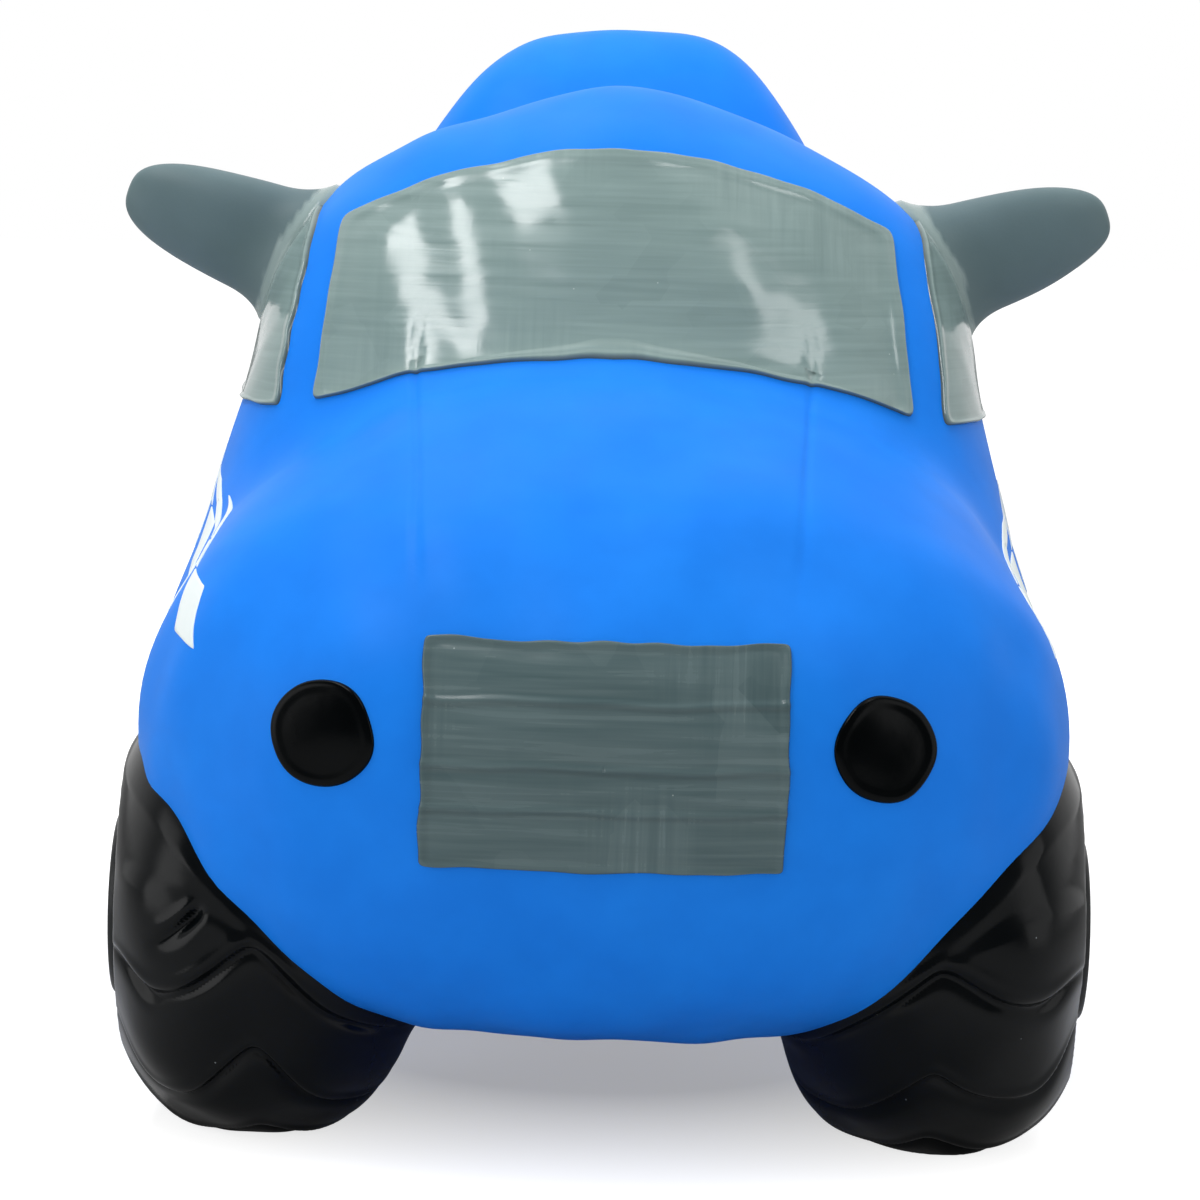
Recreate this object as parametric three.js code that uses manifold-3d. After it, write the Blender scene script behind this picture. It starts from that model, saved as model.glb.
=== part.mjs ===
// Inflatable ride-on car hopper: an air-filled PVC skin shaped like a chunky car that a child sits
// astride and bounces on. Millimetres, +Z up, the nose points to -Y, the rider's left is +X.
// The origin lies on the floor under the middle of the toy. Along the toy, places are measured as a
// depth behind the tip of the nose.
import * as THREE from "three";
import { mergeVertices } from "three/addons/utils/BufferGeometryUtils.js";
import Module from "manifold-3d";

const wasm = await Module();
wasm.setup();

// Skin and fits
const WALL = 2.5; // PVC skin
const SEAT_GAP = 0.3; // between a piece and what it sits on
const PAINT = 0.8; // built-up paint panels
const DECAL = 0.5; // checker transfers

// Hull: the lower car body, an oval section swept from nose to tail
const BODY_LENGTH = 530;
const BODY_WIDTH = 294;
const BELLY_HEIGHT = 40;
const FLANK_HEIGHT = 124; // where the hull is widest
const NOSE_HEIGHT = 134; // the tip of the nose
const TAIL_HEIGHT = 132; // the tip of the tail
const BONNET_FRONT_HEIGHT = 190; // the bonnet line carried forward to the nose
const COWL_DEPTH = 130; // where the bonnet meets the windscreen
const COWL_HEIGHT = 243;
const SADDLE_HEIGHT = 270; // where the child sits
const DECK_HEIGHT = 264; // under the tail hump
const BOOT_HEIGHT = 236; // the deck line carried back to the tail
const HULL_SQUARENESS = 2.1; // 2 is an ellipse, more is boxier
const BELLY_SQUARENESS = 2.6; // the cheeks below the flanks are fuller
const NOSE_RUN = 75; // length over which the nose closes, seen from the side
const NOSE_PLAN_RUN = 110; // the same, seen from above
const TAIL_RUN = 80;
const TAIL_PLAN_RUN = 125;
const END_SQUARENESS = 2.4;

// Cab
const CAB_DEPTH = 235; // its middle
const CAB_BASE = 215; // its widest level
const CAB_WIDTH = 246;
const CAB_LENGTH = 200;
const ROOF_HEIGHT = 333;
const ROOF_FALL = 37; // how far the roof slopes down towards its edges
const ROOF_CREST = 0.12; // share of the half width over which the crest rounds
const CAB_SIDE_SQUARENESS = 4.2;
const CAB_PROFILE_SQUARENESS = 1.9;
const CAB_FILLET = 24;

// Tail hump, the low backrest behind the saddle
const HUMP_TO_TAIL = 108;
const HUMP_BASE = 285;
const HUMP_WIDTH = 172; // at its base
const HUMP_LENGTH = 148; // at its base
const HUMP_HEIGHT = 357; // its top above the floor
const HUMP_DRAFT = 0.48; // how fast its sides draw in, run over rise
const HUMP_END_DRAFT = 0.48;
const HUMP_SIDE_SQUARENESS = 4;
const HUMP_PROFILE_SQUARENESS = 2.5;
const HUMP_FILLET = 34;

// Tyres: bulged feet with a flat tread patch and a flat outer face
const FRONT_AXLE_TO_NOSE = 110;
const REAR_AXLE_TO_TAIL = 112;
const TRACK = 208; // between tyre middles
const TYRE_RADIUS = 72;
const TYRE_WIDTH = 101;
const TYRE_SQUARENESS = 2.5;
const TREAD_FLAT = 2; // depth of the flattened tread patch
const SIDEWALL_FLAT = 4.5; // how far the outer face is set in from the full width

// Wheel discs
const DISC_RADIUS = 30;
const DISC_THICKNESS = 2.2;
const RIM_WIDTH = 4;
const RIM_RISE = 1.3;
const HUB_RADIUS = 11;
const HUB_RISE = 2.4;

// Handles: hollow paddles that stand out of the side windows like door mirrors
const HANDLE_DEPTH = 238;
const HANDLE_HEIGHT = 275;
const HANDLE_LENGTH = 59; // outside the cab
const HANDLE_RISE = 19; // degrees above level
const HANDLE_ROOT_WIDTH = 41;
const HANDLE_TIP_WIDTH = 34;
const HANDLE_ROOT_THICKNESS = 29;
const HANDLE_TIP_THICKNESS = 23;
const HANDLE_END_SQUARENESS = 2.8;
const HANDLE_BURIED = 18; // length of the sweep inside the cab
const HANDLE_ROOT_LENGTH = 7; // soft root that bends

// Painted panels, as seen straight from the front, side or back
const WINDSCREEN_FOOT_WIDTH = 196;
const WINDSCREEN_HEAD_WIDTH = 182;
const WINDSCREEN_FOOT = 229; // height of the lower corners
const WINDSCREEN_FOOT_ARCH = 17;
const WINDSCREEN_HEAD = 287; // height of the upper corners
const WINDSCREEN_HEAD_ARCH = 25;
const PILLAR = 10; // body colour between the windscreen and a side window
const SIDE_WINDOW_REAR = 292;
const SIDE_WINDOW_REAR_RAKE = 20;
const SIDE_WINDOW_SILL = 226;
const SIDE_WINDOW_TOP = 292;
const REAR_WINDOW_WIDTH = 92;
const REAR_WINDOW_HEIGHT = 40;
const REAR_WINDOW_DROP = 21; // from the hump's top to the window's
const GRILLE_WIDTH = 108;
const GRILLE_SILL = 104;
const GRILLE_TOP = 170;
const PANEL_CORNER = 6;
const HEADLAMP_SPACING = 166;
const HEADLAMP_HEIGHT = 140;
const HEADLAMP_RADIUS = 16;
const TAIL_LAMP_SPACING = 172;
const TAIL_LAMP_HEIGHT = 152;
const TAIL_LAMP_RADIUS = 14;
const LAMP_RIM = 2.4;
const LAMP_RIM_RISE = 0.6;
const CHECKER_CELL_LENGTH = 19;
const CHECKER_ROW_HEIGHTS = [17, 15];
const CHECKER_ROW_LEANS = [1, 2.8]; // how far each row's edges lean back for their height
const CHECKER_CLIMB = 0.17; // how far the rows climb for their length
const CHECKER_COLUMNS = 9;
const CHECKER_FRONT = 52; // depth of the first column's foot
const CHECKER_SILL = 159;
const CHECKER_CORNER_LAP = 0.6; // joins cells that meet at a corner

// Air valve in the tail
const VALVE_LAND = 1.4; // depth of the flat land moulded for it
const VALVE_SLEEVE_RADIUS = 9;
const VALVE_SLEEVE_LENGTH = 13;
const VALVE_FLANGE_RADIUS = 15;
const VALVE_FLANGE = 1.6;
const VALVE_BORE_RADIUS = 5.5;
const PLUG_STEM_LENGTH = 15;
const PLUG_TIP_RADIUS = 4.2;
const PLUG_HEAD_RADIUS = 11;
const PLUG_HEAD = 2.4;
const PLUG_TAB_WIDTH = 9;
const PLUG_TAB = 2.6; // thickness of the pull tab
const PLUG_TAB_HEIGHT = 4;

// Mesh fineness
const SKIN_RINGS = 36;
const SKIN_SIDES = 34;
const END_BIAS = 0.8; // how much closer the rings lie at the nose and tail
const TOP_BIAS = 0.45; // how much closer the sides lie over the top than under the belly
const TYRE_SIDES = 22;
const TYRE_RINGS = 10;
const HANDLE_RINGS = 9;
const HANDLE_SIDES = 14;
const ROUND_SIDES = 24;
const CURVE_SEGMENTS = 7; // per arc of an outline
const SEARCH_STEPS = 40;

// Places that follow from the sizes
const NOSE_Y = -BODY_LENGTH / 2;
const yAt = (depth) => NOSE_Y + depth;
const depthAt = (y) => y - NOSE_Y;
const LANDING_DEPTH = BODY_LENGTH - VALVE_LAND;
const FAR = 2 * BODY_LENGTH; // beyond every surface
const SIDES = { left: 1, right: -1 };

// Materials
const paint = (color, roughness) => new THREE.MeshStandardMaterial({ color, roughness, metalness: 0 });
const BLUE_PVC = paint("#1f7ff0", 0.45);
const BLACK_PAINT = paint("#14171a", 0.3);
const WINDOW_GREY = paint("#7f908e", 0.2);
const GRILLE_GREY = paint("#566669", 0.4);
const HANDLE_GREY = paint("#5a6c70", 0.6);
const SILVER_PAINT = paint("#c3c8ca", 0.4);
const WHITE_TRANSFER = paint("#f2f5f6", 0.35);
const WHITE_PLUG = paint("#eceae4", 0.5);

// Curves and solids

// A smooth curve through rising [position, value] stations that never overshoots them.
function throughStations(stations) {
  const xs = stations.map((s) => s[0]);
  const ys = stations.map((s) => s[1]);
  const last = xs.length - 1;
  const rise = xs.slice(1).map((x, i) => (ys[i + 1] - ys[i]) / (x - xs[i]));
  const slope = ys.map((_, i) => {
    if (i === 0) return rise[0];
    if (i === last) return rise[last - 1];
    const [a, b] = [rise[i - 1], rise[i]];
    return a * b <= 0 ? 0 : (2 * a * b) / (a + b);
  });
  return (x) => {
    const clamped = Math.min(Math.max(x, xs[0]), xs[last]);
    const i = Math.max(0, Math.min(last - 1, xs.findIndex((s) => s > clamped) - 1));
    const k = clamped === xs[last] ? last - 1 : i;
    const h = xs[k + 1] - xs[k];
    const t = (clamped - xs[k]) / h;
    const cubic = (p, q) => (2 * t ** 3 - 3 * t ** 2 + 1) * p + (3 * t ** 2 - 2 * t ** 3) * q;
    const tangent = (p, q) => h * ((t ** 3 - 2 * t ** 2 + t) * p + (t ** 3 - t ** 2) * q);
    return cubic(ys[k], ys[k + 1]) + tangent(slope[k], slope[k + 1]);
  };
}

// Grows from 0 at an end to 1 after run, as a rounded end does.
function roundedEnd(distance, run, squareness = END_SQUARENESS) {
  if (distance >= run) return 1;
  const left = 1 - Math.max(distance, 0) / run;
  return (1 - left ** squareness) ** (1 / squareness);
}

// The lesser of two distances, with the corner between them filleted.
function filletedUnion(a, b, radius) {
  const overlap = Math.max(radius - Math.abs(a - b), 0) / radius;
  return Math.min(a, b) - (overlap * overlap * radius) / 4;
}

const superNorm = (a, b, power) => (Math.abs(a) ** power + Math.abs(b) ** power) ** (1 / power);

function toSolid(geometry) {
  const bare = new THREE.BufferGeometry();
  bare.setAttribute("position", geometry.getAttribute("position"));
  if (geometry.index) bare.setIndex(geometry.index);
  const merged = mergeVertices(bare, 1e-4);
  const faces = [];
  const index = merged.index.array;
  for (let i = 0; i < index.length; i += 3) {
    const [a, b, c] = index.slice(i, i + 3);
    if (a !== b && b !== c && c !== a) faces.push(a, b, c);
  }
  const build = (triVerts) =>
    new wasm.Manifold(
      new wasm.Mesh({ numProp: 3, vertProperties: merged.attributes.position.array, triVerts }),
    );
  const made = build(new Uint32Array(faces));
  if (made.volume() > 0) return made;
  for (let i = 0; i < faces.length; i += 3) [faces[i + 1], faces[i + 2]] = [faces[i + 2], faces[i + 1]];
  return build(new Uint32Array(faces));
}

function toGeometry(solid) {
  const mesh = solid.getMesh();
  const positions = new Float32Array(mesh.numVert * 3);
  for (let i = 0; i < mesh.numVert; i++) {
    const start = i * mesh.numProp;
    positions.set(mesh.vertProperties.subarray(start, start + 3), i * 3);
  }
  const geometry = new THREE.BufferGeometry();
  geometry.setAttribute("position", new THREE.BufferAttribute(positions, 3));
  geometry.setIndex(new THREE.BufferAttribute(mesh.triVerts, 1));
  geometry.computeVertexNormals();
  return geometry;
}

// A closed skin over rings of points, with a pole at each end.
function ringSolid(rings, startPole, endPole) {
  const sides = rings[0].length;
  const points = [startPole, ...rings.flat(), endPole];
  const at = (ring, side) => 1 + ring * sides + (side % sides);
  const index = [];
  for (let s = 0; s < sides; s++) {
    index.push(0, at(0, s + 1), at(0, s));
    index.push(points.length - 1, at(rings.length - 1, s), at(rings.length - 1, s + 1));
    for (let r = 0; r + 1 < rings.length; r++) {
      index.push(at(r, s), at(r, s + 1), at(r + 1, s));
      index.push(at(r, s + 1), at(r + 1, s + 1), at(r + 1, s));
    }
  }
  const geometry = new THREE.BufferGeometry();
  geometry.setFromPoints(points);
  geometry.setIndex(index);
  return toSolid(geometry);
}

// A flat outline pushed through the toy. Seen from the front or back the outline is (x, z) and the
// prism runs over depths; seen from the side it is (y, z) and the prism runs over x.
const FRONT_PLANE = [new THREE.Vector3(1, 0, 0), new THREE.Vector3(0, 0, 1), new THREE.Vector3(0, -1, 0)];
const SIDE_PLANE = [new THREE.Vector3(0, 1, 0), new THREE.Vector3(0, 0, 1), new THREE.Vector3(1, 0, 0)];

function prism(shape, plane, from, to) {
  const options = { depth: to - from, bevelEnabled: false, curveSegments: CURVE_SEGMENTS };
  const geometry = new THREE.ExtrudeGeometry(shape, options).translate(0, 0, from);
  return toSolid(geometry.applyMatrix4(new THREE.Matrix4().makeBasis(...plane)));
}

const depthPrism = (shape, from, to) => prism(shape, FRONT_PLANE, -yAt(to), -yAt(from));
const sidePrism = (shape, side) => prism(shape, SIDE_PLANE, side > 0 ? 0 : -FAR, side > 0 ? FAR : 0);

function boxSolid(low, high) {
  const size = high.clone().sub(low);
  const middle = high.clone().add(low).multiplyScalar(0.5);
  return toSolid(new THREE.BoxGeometry(size.x, size.y, size.z).translate(middle.x, middle.y, middle.z));
}

// A turned piece: the profile is [radius, height] points, turned about an axis from a foot point.
function turned(profile, axis, foot, sides = ROUND_SIDES) {
  const points = profile.map(([radius, height]) => new THREE.Vector2(radius, height));
  const geometry = new THREE.LatheGeometry(points, sides);
  const turn = new THREE.Quaternion().setFromUnitVectors(new THREE.Vector3(0, 1, 0), axis);
  return toSolid(geometry.applyQuaternion(turn).translate(foot.x, foot.y, foot.z));
}

const circle = (x, z, radius) => new THREE.Shape().absarc(x, z, radius, 0, 2 * Math.PI, false);

function roundedRectangle(left, bottom, right, top, corner) {
  const shape = new THREE.Shape();
  shape.moveTo(left + corner, bottom);
  shape.lineTo(right - corner, bottom);
  shape.absarc(right - corner, bottom + corner, corner, -Math.PI / 2, 0, false);
  shape.absarc(right - corner, top - corner, corner, 0, Math.PI / 2, false);
  shape.absarc(left + corner, top - corner, corner, Math.PI / 2, Math.PI, false);
  shape.absarc(left + corner, bottom + corner, corner, Math.PI, 1.5 * Math.PI, false);
  return shape;
}

// The inflated skin

const humpDepth = BODY_LENGTH - HUMP_TO_TAIL;
const saddleDepth = (CAB_DEPTH + humpDepth) / 2;
const deckLine = throughStations([
  [0, BONNET_FRONT_HEIGHT],
  [COWL_DEPTH, COWL_HEIGHT],
  [saddleDepth, SADDLE_HEIGHT],
  [humpDepth, DECK_HEIGHT],
  [BODY_LENGTH, BOOT_HEIGHT],
]);
const axisLine = throughStations([
  [0, NOSE_HEIGHT],
  [NOSE_PLAN_RUN, FLANK_HEIGHT],
  [BODY_LENGTH - TAIL_PLAN_RUN, FLANK_HEIGHT],
  [BODY_LENGTH, TAIL_HEIGHT],
]);

function hullDistance(x, depth, z) {
  const rear = BODY_LENGTH - depth;
  const plan = roundedEnd(depth, NOSE_PLAN_RUN) * roundedEnd(rear, TAIL_PLAN_RUN);
  const side = roundedEnd(depth, NOSE_RUN) * roundedEnd(rear, TAIL_RUN);
  const axis = axisLine(depth);
  const reach = z > axis ? deckLine(depth) - axis : axis - BELLY_HEIGHT;
  const squareness = z > axis ? HULL_SQUARENESS : BELLY_SQUARENESS;
  const norm = superNorm(x / ((BODY_WIDTH / 2) * plan), (z - axis) / (reach * side), squareness);
  return (norm - 1) * (FLANK_HEIGHT - BELLY_HEIGHT);
}

// The cab and the hump are domes on columns that run down into the hull and close below its flanks.
const columnRise = (z, base) => Math.max(z - base, 2 * (FLANK_HEIGHT - z), 0);

function cabDistance(x, depth, z) {
  const height = ROOF_HEIGHT - CAB_BASE;
  const aside = Math.abs(x) / (CAB_WIDTH / 2);
  const fall = ROOF_FALL * (Math.hypot(aside, ROOF_CREST) - ROOF_CREST);
  const rise = columnRise(z + fall, CAB_BASE) / height;
  const profile = superNorm((depth - CAB_DEPTH) / (CAB_LENGTH / 2), rise, CAB_PROFILE_SQUARENESS);
  return (superNorm(aside, profile, CAB_SIDE_SQUARENESS) - 1) * height;
}

function humpDistance(x, depth, z) {
  const height = HUMP_HEIGHT - HUMP_BASE;
  const rise = columnRise(z, HUMP_BASE);
  const halfWidth = Math.max(HUMP_WIDTH / 2 - HUMP_DRAFT * rise, HUMP_FILLET);
  const halfLength = Math.max(HUMP_LENGTH / 2 - HUMP_END_DRAFT * rise, HUMP_FILLET);
  const profile = superNorm((depth - humpDepth) / halfLength, rise / height, HUMP_PROFILE_SQUARENESS);
  return (superNorm(x / halfWidth, profile, HUMP_SIDE_SQUARENESS) - 1) * height;
}

// Below zero inside the toy, zero on its surface.
function skinDistance(x, depth, z) {
  const withCab = filletedUnion(hullDistance(x, depth, z), cabDistance(x, depth, z), CAB_FILLET);
  return filletedUnion(withCab, humpDistance(x, depth, z), HUMP_FILLET);
}

// The distance along a ray at which a measure turns from below zero to above it.
function firstOutside(measure, reach) {
  let [inside, outside] = [0, reach];
  for (let i = 0; i < SEARCH_STEPS; i++) {
    const middle = (inside + outside) / 2;
    if (measure(middle) < 0) inside = middle;
    else outside = middle;
  }
  return inside;
}

function skinNormal(point) {
  const step = 0.05;
  const at = (dx, dy, dz) => skinDistance(point.x + dx, depthAt(point.y) + dy, point.z + dz);
  return new THREE.Vector3(
    at(step, 0, 0) - at(-step, 0, 0),
    at(0, step, 0) - at(0, -step, 0),
    at(0, 0, step) - at(0, 0, -step),
  ).normalize();
}

// Rings of points on the skin, closer together at the rounded ends and over the top.
const skinRings = Array.from({ length: SKIN_RINGS - 1 }, (_, i) => {
  const share = (i + 1) / SKIN_RINGS;
  const depth = BODY_LENGTH * THREE.MathUtils.lerp(share, (1 - Math.cos(Math.PI * share)) / 2, END_BIAS);
  const axis = axisLine(depth);
  return Array.from({ length: SKIN_SIDES }, (_, s) => {
    const even = (2 * Math.PI * s) / SKIN_SIDES;
    const angle = even + TOP_BIAS * Math.cos(even);
    const [dx, dz] = [Math.cos(angle), Math.sin(angle)];
    const radius = firstOutside((r) => skinDistance(r * dx, depth, axis + r * dz), BODY_LENGTH);
    return new THREE.Vector3(radius * dx, yAt(depth), axis + radius * dz);
  });
});

// The toy's outside moved out by offset, as a filled solid.
function skin(offset) {
  const moved = skinRings.map((ring) => ring.map((p) => p.clone().addScaledVector(skinNormal(p), offset)));
  const nose = new THREE.Vector3(0, yAt(0) - offset, NOSE_HEIGHT);
  const tail = new THREE.Vector3(0, yAt(BODY_LENGTH) + offset, TAIL_HEIGHT);
  return ringSolid(moved, nose, tail);
}

const outside = skin(0);
const lining = skin(-WALL);
const seated = skin(SEAT_GAP); // what pieces on the skin keep clear of

// A thin panel that follows the skin inside an outline.
const panel = (outline, thickness) => skin(SEAT_GAP + thickness).subtract(seated).intersect(outline);

// Tyres and wheel discs

const axleHeight = TYRE_RADIUS - TREAD_FLAT;
const tyreHalf = TYRE_WIDTH / 2;
const sidewallReach = tyreHalf - SIDEWALL_FLAT; // from the tyre's middle to its outer face

// The barrel of a tyre, drawn in all round by inset, with its flats cut.
function tyreBarrel(side, axleDepth, inset) {
  const half = tyreHalf - inset;
  const radius = TYRE_RADIUS - inset;
  const profile = Array.from({ length: TYRE_RINGS + 1 }, (_, i) => {
    const across = -Math.cos((Math.PI * i) / TYRE_RINGS);
    const crown = (1 - Math.abs(across) ** TYRE_SQUARENESS) ** (1 / TYRE_SQUARENESS);
    return [i % TYRE_RINGS === 0 ? 0 : radius * crown, half * across];
  });
  const middle = new THREE.Vector3((side * TRACK) / 2, yAt(axleDepth), axleHeight);
  const barrel = turned(profile, new THREE.Vector3(side, 0, 0), middle, TYRE_SIDES);
  const face = TRACK / 2 + sidewallReach - inset;
  const flats = boxSolid(
    new THREE.Vector3(side > 0 ? 0 : -face, -FAR, inset),
    new THREE.Vector3(side > 0 ? face : 0, FAR, FAR),
  );
  return barrel.intersect(flats);
}

function wheelDisc(side, axleDepth) {
  const lip = DISC_RADIUS - RIM_WIDTH;
  const profile = [
    [0, 0],
    [DISC_RADIUS, 0],
    [DISC_RADIUS, DISC_THICKNESS + RIM_RISE / 2],
    [DISC_RADIUS - RIM_WIDTH / 2, DISC_THICKNESS + RIM_RISE],
    [lip, DISC_THICKNESS],
    [HUB_RADIUS + HUB_RISE / 2, DISC_THICKNESS],
    [HUB_RADIUS, DISC_THICKNESS + HUB_RISE],
    [0, DISC_THICKNESS + HUB_RISE],
  ];
  const face = TRACK / 2 + sidewallReach + SEAT_GAP;
  const foot = new THREE.Vector3(side * face, yAt(axleDepth), axleHeight);
  return turned(profile, new THREE.Vector3(side, 0, 0), foot);
}

const axles = { front: FRONT_AXLE_TO_NOSE, rear: BODY_LENGTH - REAR_AXLE_TO_TAIL };
const wheels = Object.entries(axles).flatMap(([end, axleDepth]) =>
  Object.entries(SIDES).map(([sideName, side]) => ({
    name: `${end}_${sideName}`,
    barrel: tyreBarrel(side, axleDepth, 0),
    cavity: tyreBarrel(side, axleDepth, WALL),
    disc: wheelDisc(side, axleDepth),
  })),
);

// Handles

const handleRise = THREE.MathUtils.degToRad(HANDLE_RISE);
const handleRootX = firstOutside((x) => skinDistance(x, HANDLE_DEPTH, HANDLE_HEIGHT), BODY_WIDTH);

// The whole sweep of a handle from inside the cab to its tip, drawn in all round by inset.
function handleSweep(side, inset) {
  const along = new THREE.Vector3(side * Math.cos(handleRise), 0, Math.sin(handleRise));
  const across = new THREE.Vector3(-side * Math.sin(handleRise), 0, Math.cos(handleRise));
  const root = new THREE.Vector3(side * handleRootX, yAt(HANDLE_DEPTH), HANDLE_HEIGHT);
  const reach = HANDLE_LENGTH - inset;
  const rings = Array.from({ length: HANDLE_RINGS }, (_, i) => {
    const share = Math.sin(((i / HANDLE_RINGS) * Math.PI) / 2);
    const outward = -HANDLE_BURIED + (reach + HANDLE_BURIED) * share;
    const tip = outward > 0 ? roundedEnd(reach - outward, reach, HANDLE_END_SQUARENESS) : 1;
    const halfAt = (rootSize, tipSize) => {
      const size = THREE.MathUtils.lerp(rootSize, tipSize, Math.max(outward, 0) / HANDLE_LENGTH);
      return (size / 2 - inset) * tip;
    };
    const width = halfAt(HANDLE_ROOT_WIDTH, HANDLE_TIP_WIDTH);
    const thickness = halfAt(HANDLE_ROOT_THICKNESS, HANDLE_TIP_THICKNESS);
    const middle = root.clone().addScaledVector(along, outward);
    return Array.from({ length: HANDLE_SIDES }, (_, s) => {
      const angle = (2 * Math.PI * s) / HANDLE_SIDES;
      const point = middle.clone().addScaledVector(across, width * Math.sin(angle));
      point.y += thickness * Math.cos(angle);
      return point;
    });
  });
  const start = root.clone().addScaledVector(along, -HANDLE_BURIED);
  return ringSolid(rings, start, root.clone().addScaledVector(along, reach));
}

const handleRootEnd = skin(SEAT_GAP + HANDLE_ROOT_LENGTH);
const handleStart = skin(2 * SEAT_GAP + HANDLE_ROOT_LENGTH);
const handles = Object.entries(SIDES).map(([name, side]) => {
  const tube = handleSweep(side, 0).subtract(handleSweep(side, WALL));
  return {
    name,
    cavity: handleSweep(side, WALL),
    clearance: handleSweep(side, -SEAT_GAP),
    root: tube.intersect(handleRootEnd).subtract(seated),
    grip: tube.subtract(handleStart),
  };
});

// Painted panels

function windscreen() {
  const [foot, head] = [WINDSCREEN_FOOT_WIDTH / 2, WINDSCREEN_HEAD_WIDTH / 2];
  const shape = new THREE.Shape();
  shape.moveTo(-foot, WINDSCREEN_FOOT);
  shape.quadraticCurveTo(0, WINDSCREEN_FOOT + 2 * WINDSCREEN_FOOT_ARCH, foot, WINDSCREEN_FOOT);
  shape.lineTo(head, WINDSCREEN_HEAD);
  shape.quadraticCurveTo(0, WINDSCREEN_HEAD + 2 * WINDSCREEN_HEAD_ARCH, -head, WINDSCREEN_HEAD);
  return panel(depthPrism(shape, -PANEL_CORNER, CAB_DEPTH), PAINT);
}

// A side window starts a pillar's width outside the windscreen, seen from the front.
function sideWindow(side, handle) {
  const shape = new THREE.Shape();
  shape.moveTo(yAt(COWL_DEPTH), SIDE_WINDOW_SILL);
  shape.lineTo(yAt(SIDE_WINDOW_REAR), SIDE_WINDOW_SILL);
  shape.lineTo(yAt(SIDE_WINDOW_REAR - SIDE_WINDOW_REAR_RAKE), SIDE_WINDOW_TOP);
  shape.lineTo(yAt(COWL_DEPTH), SIDE_WINDOW_TOP);
  const lean = (WINDSCREEN_HEAD_WIDTH - WINDSCREEN_FOOT_WIDTH) / 2 / (WINDSCREEN_HEAD - WINDSCREEN_FOOT);
  const edge = (z) => WINDSCREEN_FOOT_WIDTH / 2 + PILLAR + lean * (z - WINDSCREEN_FOOT);
  const screen = new THREE.Shape();
  screen.moveTo(-edge(BELLY_HEIGHT), BELLY_HEIGHT);
  screen.lineTo(edge(BELLY_HEIGHT), BELLY_HEIGHT);
  screen.lineTo(edge(HUMP_HEIGHT), HUMP_HEIGHT);
  screen.lineTo(-edge(HUMP_HEIGHT), HUMP_HEIGHT);
  const glass = panel(sidePrism(shape, side), PAINT).subtract(depthPrism(screen, 0, CAB_DEPTH));
  return glass.subtract(handle.clearance);
}

function rearWindow() {
  const half = REAR_WINDOW_WIDTH / 2;
  const top = HUMP_HEIGHT - REAR_WINDOW_DROP;
  const shape = roundedRectangle(-half, top - REAR_WINDOW_HEIGHT, half, top, PANEL_CORNER);
  return panel(depthPrism(shape, humpDepth, BODY_LENGTH), PAINT);
}

function grille() {
  const half = GRILLE_WIDTH / 2;
  const field = roundedRectangle(-half, GRILLE_SILL, half, GRILLE_TOP, PANEL_CORNER);
  return panel(depthPrism(field, -PANEL_CORNER, NOSE_RUN), PAINT);
}

// A lamp: a painted round with a raised rim.
function lamp(x, z, radius, from, to) {
  const field = depthPrism(circle(x, z, radius), from, to);
  const middle = depthPrism(circle(x, z, radius - LAMP_RIM), from, to);
  return panel(field, PAINT).add(panel(field.subtract(middle), PAINT + LAMP_RIM_RISE));
}

// A grid point of the band, whose rows lean back one upon the other and climb towards the tail.
function checkerCorner(column, row, lapBack, lapUp) {
  let up = CHECKER_SILL + CHECKER_CLIMB * column * CHECKER_CELL_LENGTH;
  let back = CHECKER_FRONT + column * CHECKER_CELL_LENGTH;
  for (let below = 0; below < row; below++) {
    up += CHECKER_ROW_HEIGHTS[below];
    back += CHECKER_ROW_HEIGHTS[below] * CHECKER_ROW_LEANS[below];
  }
  return new THREE.Vector2(yAt(back + lapBack), up + lapUp);
}

// Every other cell of the rows, as one transfer.
function checkerBand(side) {
  let cells = null;
  for (let column = 0; column < CHECKER_COLUMNS; column++) {
    for (let row = 0; row < CHECKER_ROW_HEIGHTS.length; row++) {
      if ((row + column) % 2) continue;
      const shape = new THREE.Shape([
        checkerCorner(column, row, 0, 0),
        checkerCorner(column + 1, row, CHECKER_CORNER_LAP, 0),
        checkerCorner(column + 1, row + 1, CHECKER_CORNER_LAP, CHECKER_CORNER_LAP),
        checkerCorner(column, row + 1, 0, CHECKER_CORNER_LAP),
      ]);
      const cell = sidePrism(shape, side);
      cells = cells ? cells.add(cell) : cell;
    }
  }
  return panel(cells, DECAL);
}

// Air valve

const landingY = yAt(LANDING_DEPTH);
const sleeveStart = landingY + SEAT_GAP; // the flange's seat
const plugStart = sleeveStart + VALVE_FLANGE + SEAT_GAP;
const TAILWARD = new THREE.Vector3(0, 1, 0);

function valveSeat() {
  const profile = [
    [VALVE_BORE_RADIUS, -VALVE_SLEEVE_LENGTH],
    [VALVE_SLEEVE_RADIUS, -VALVE_SLEEVE_LENGTH],
    [VALVE_SLEEVE_RADIUS, 0],
    [VALVE_FLANGE_RADIUS, 0],
    [VALVE_FLANGE_RADIUS, VALVE_FLANGE / 2],
    [VALVE_FLANGE_RADIUS - VALVE_FLANGE / 2, VALVE_FLANGE],
    [VALVE_BORE_RADIUS, VALVE_FLANGE],
    [VALVE_BORE_RADIUS, -VALVE_SLEEVE_LENGTH],
  ];
  return turned(profile, TAILWARD, new THREE.Vector3(0, sleeveStart, TAIL_HEIGHT));
}

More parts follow.
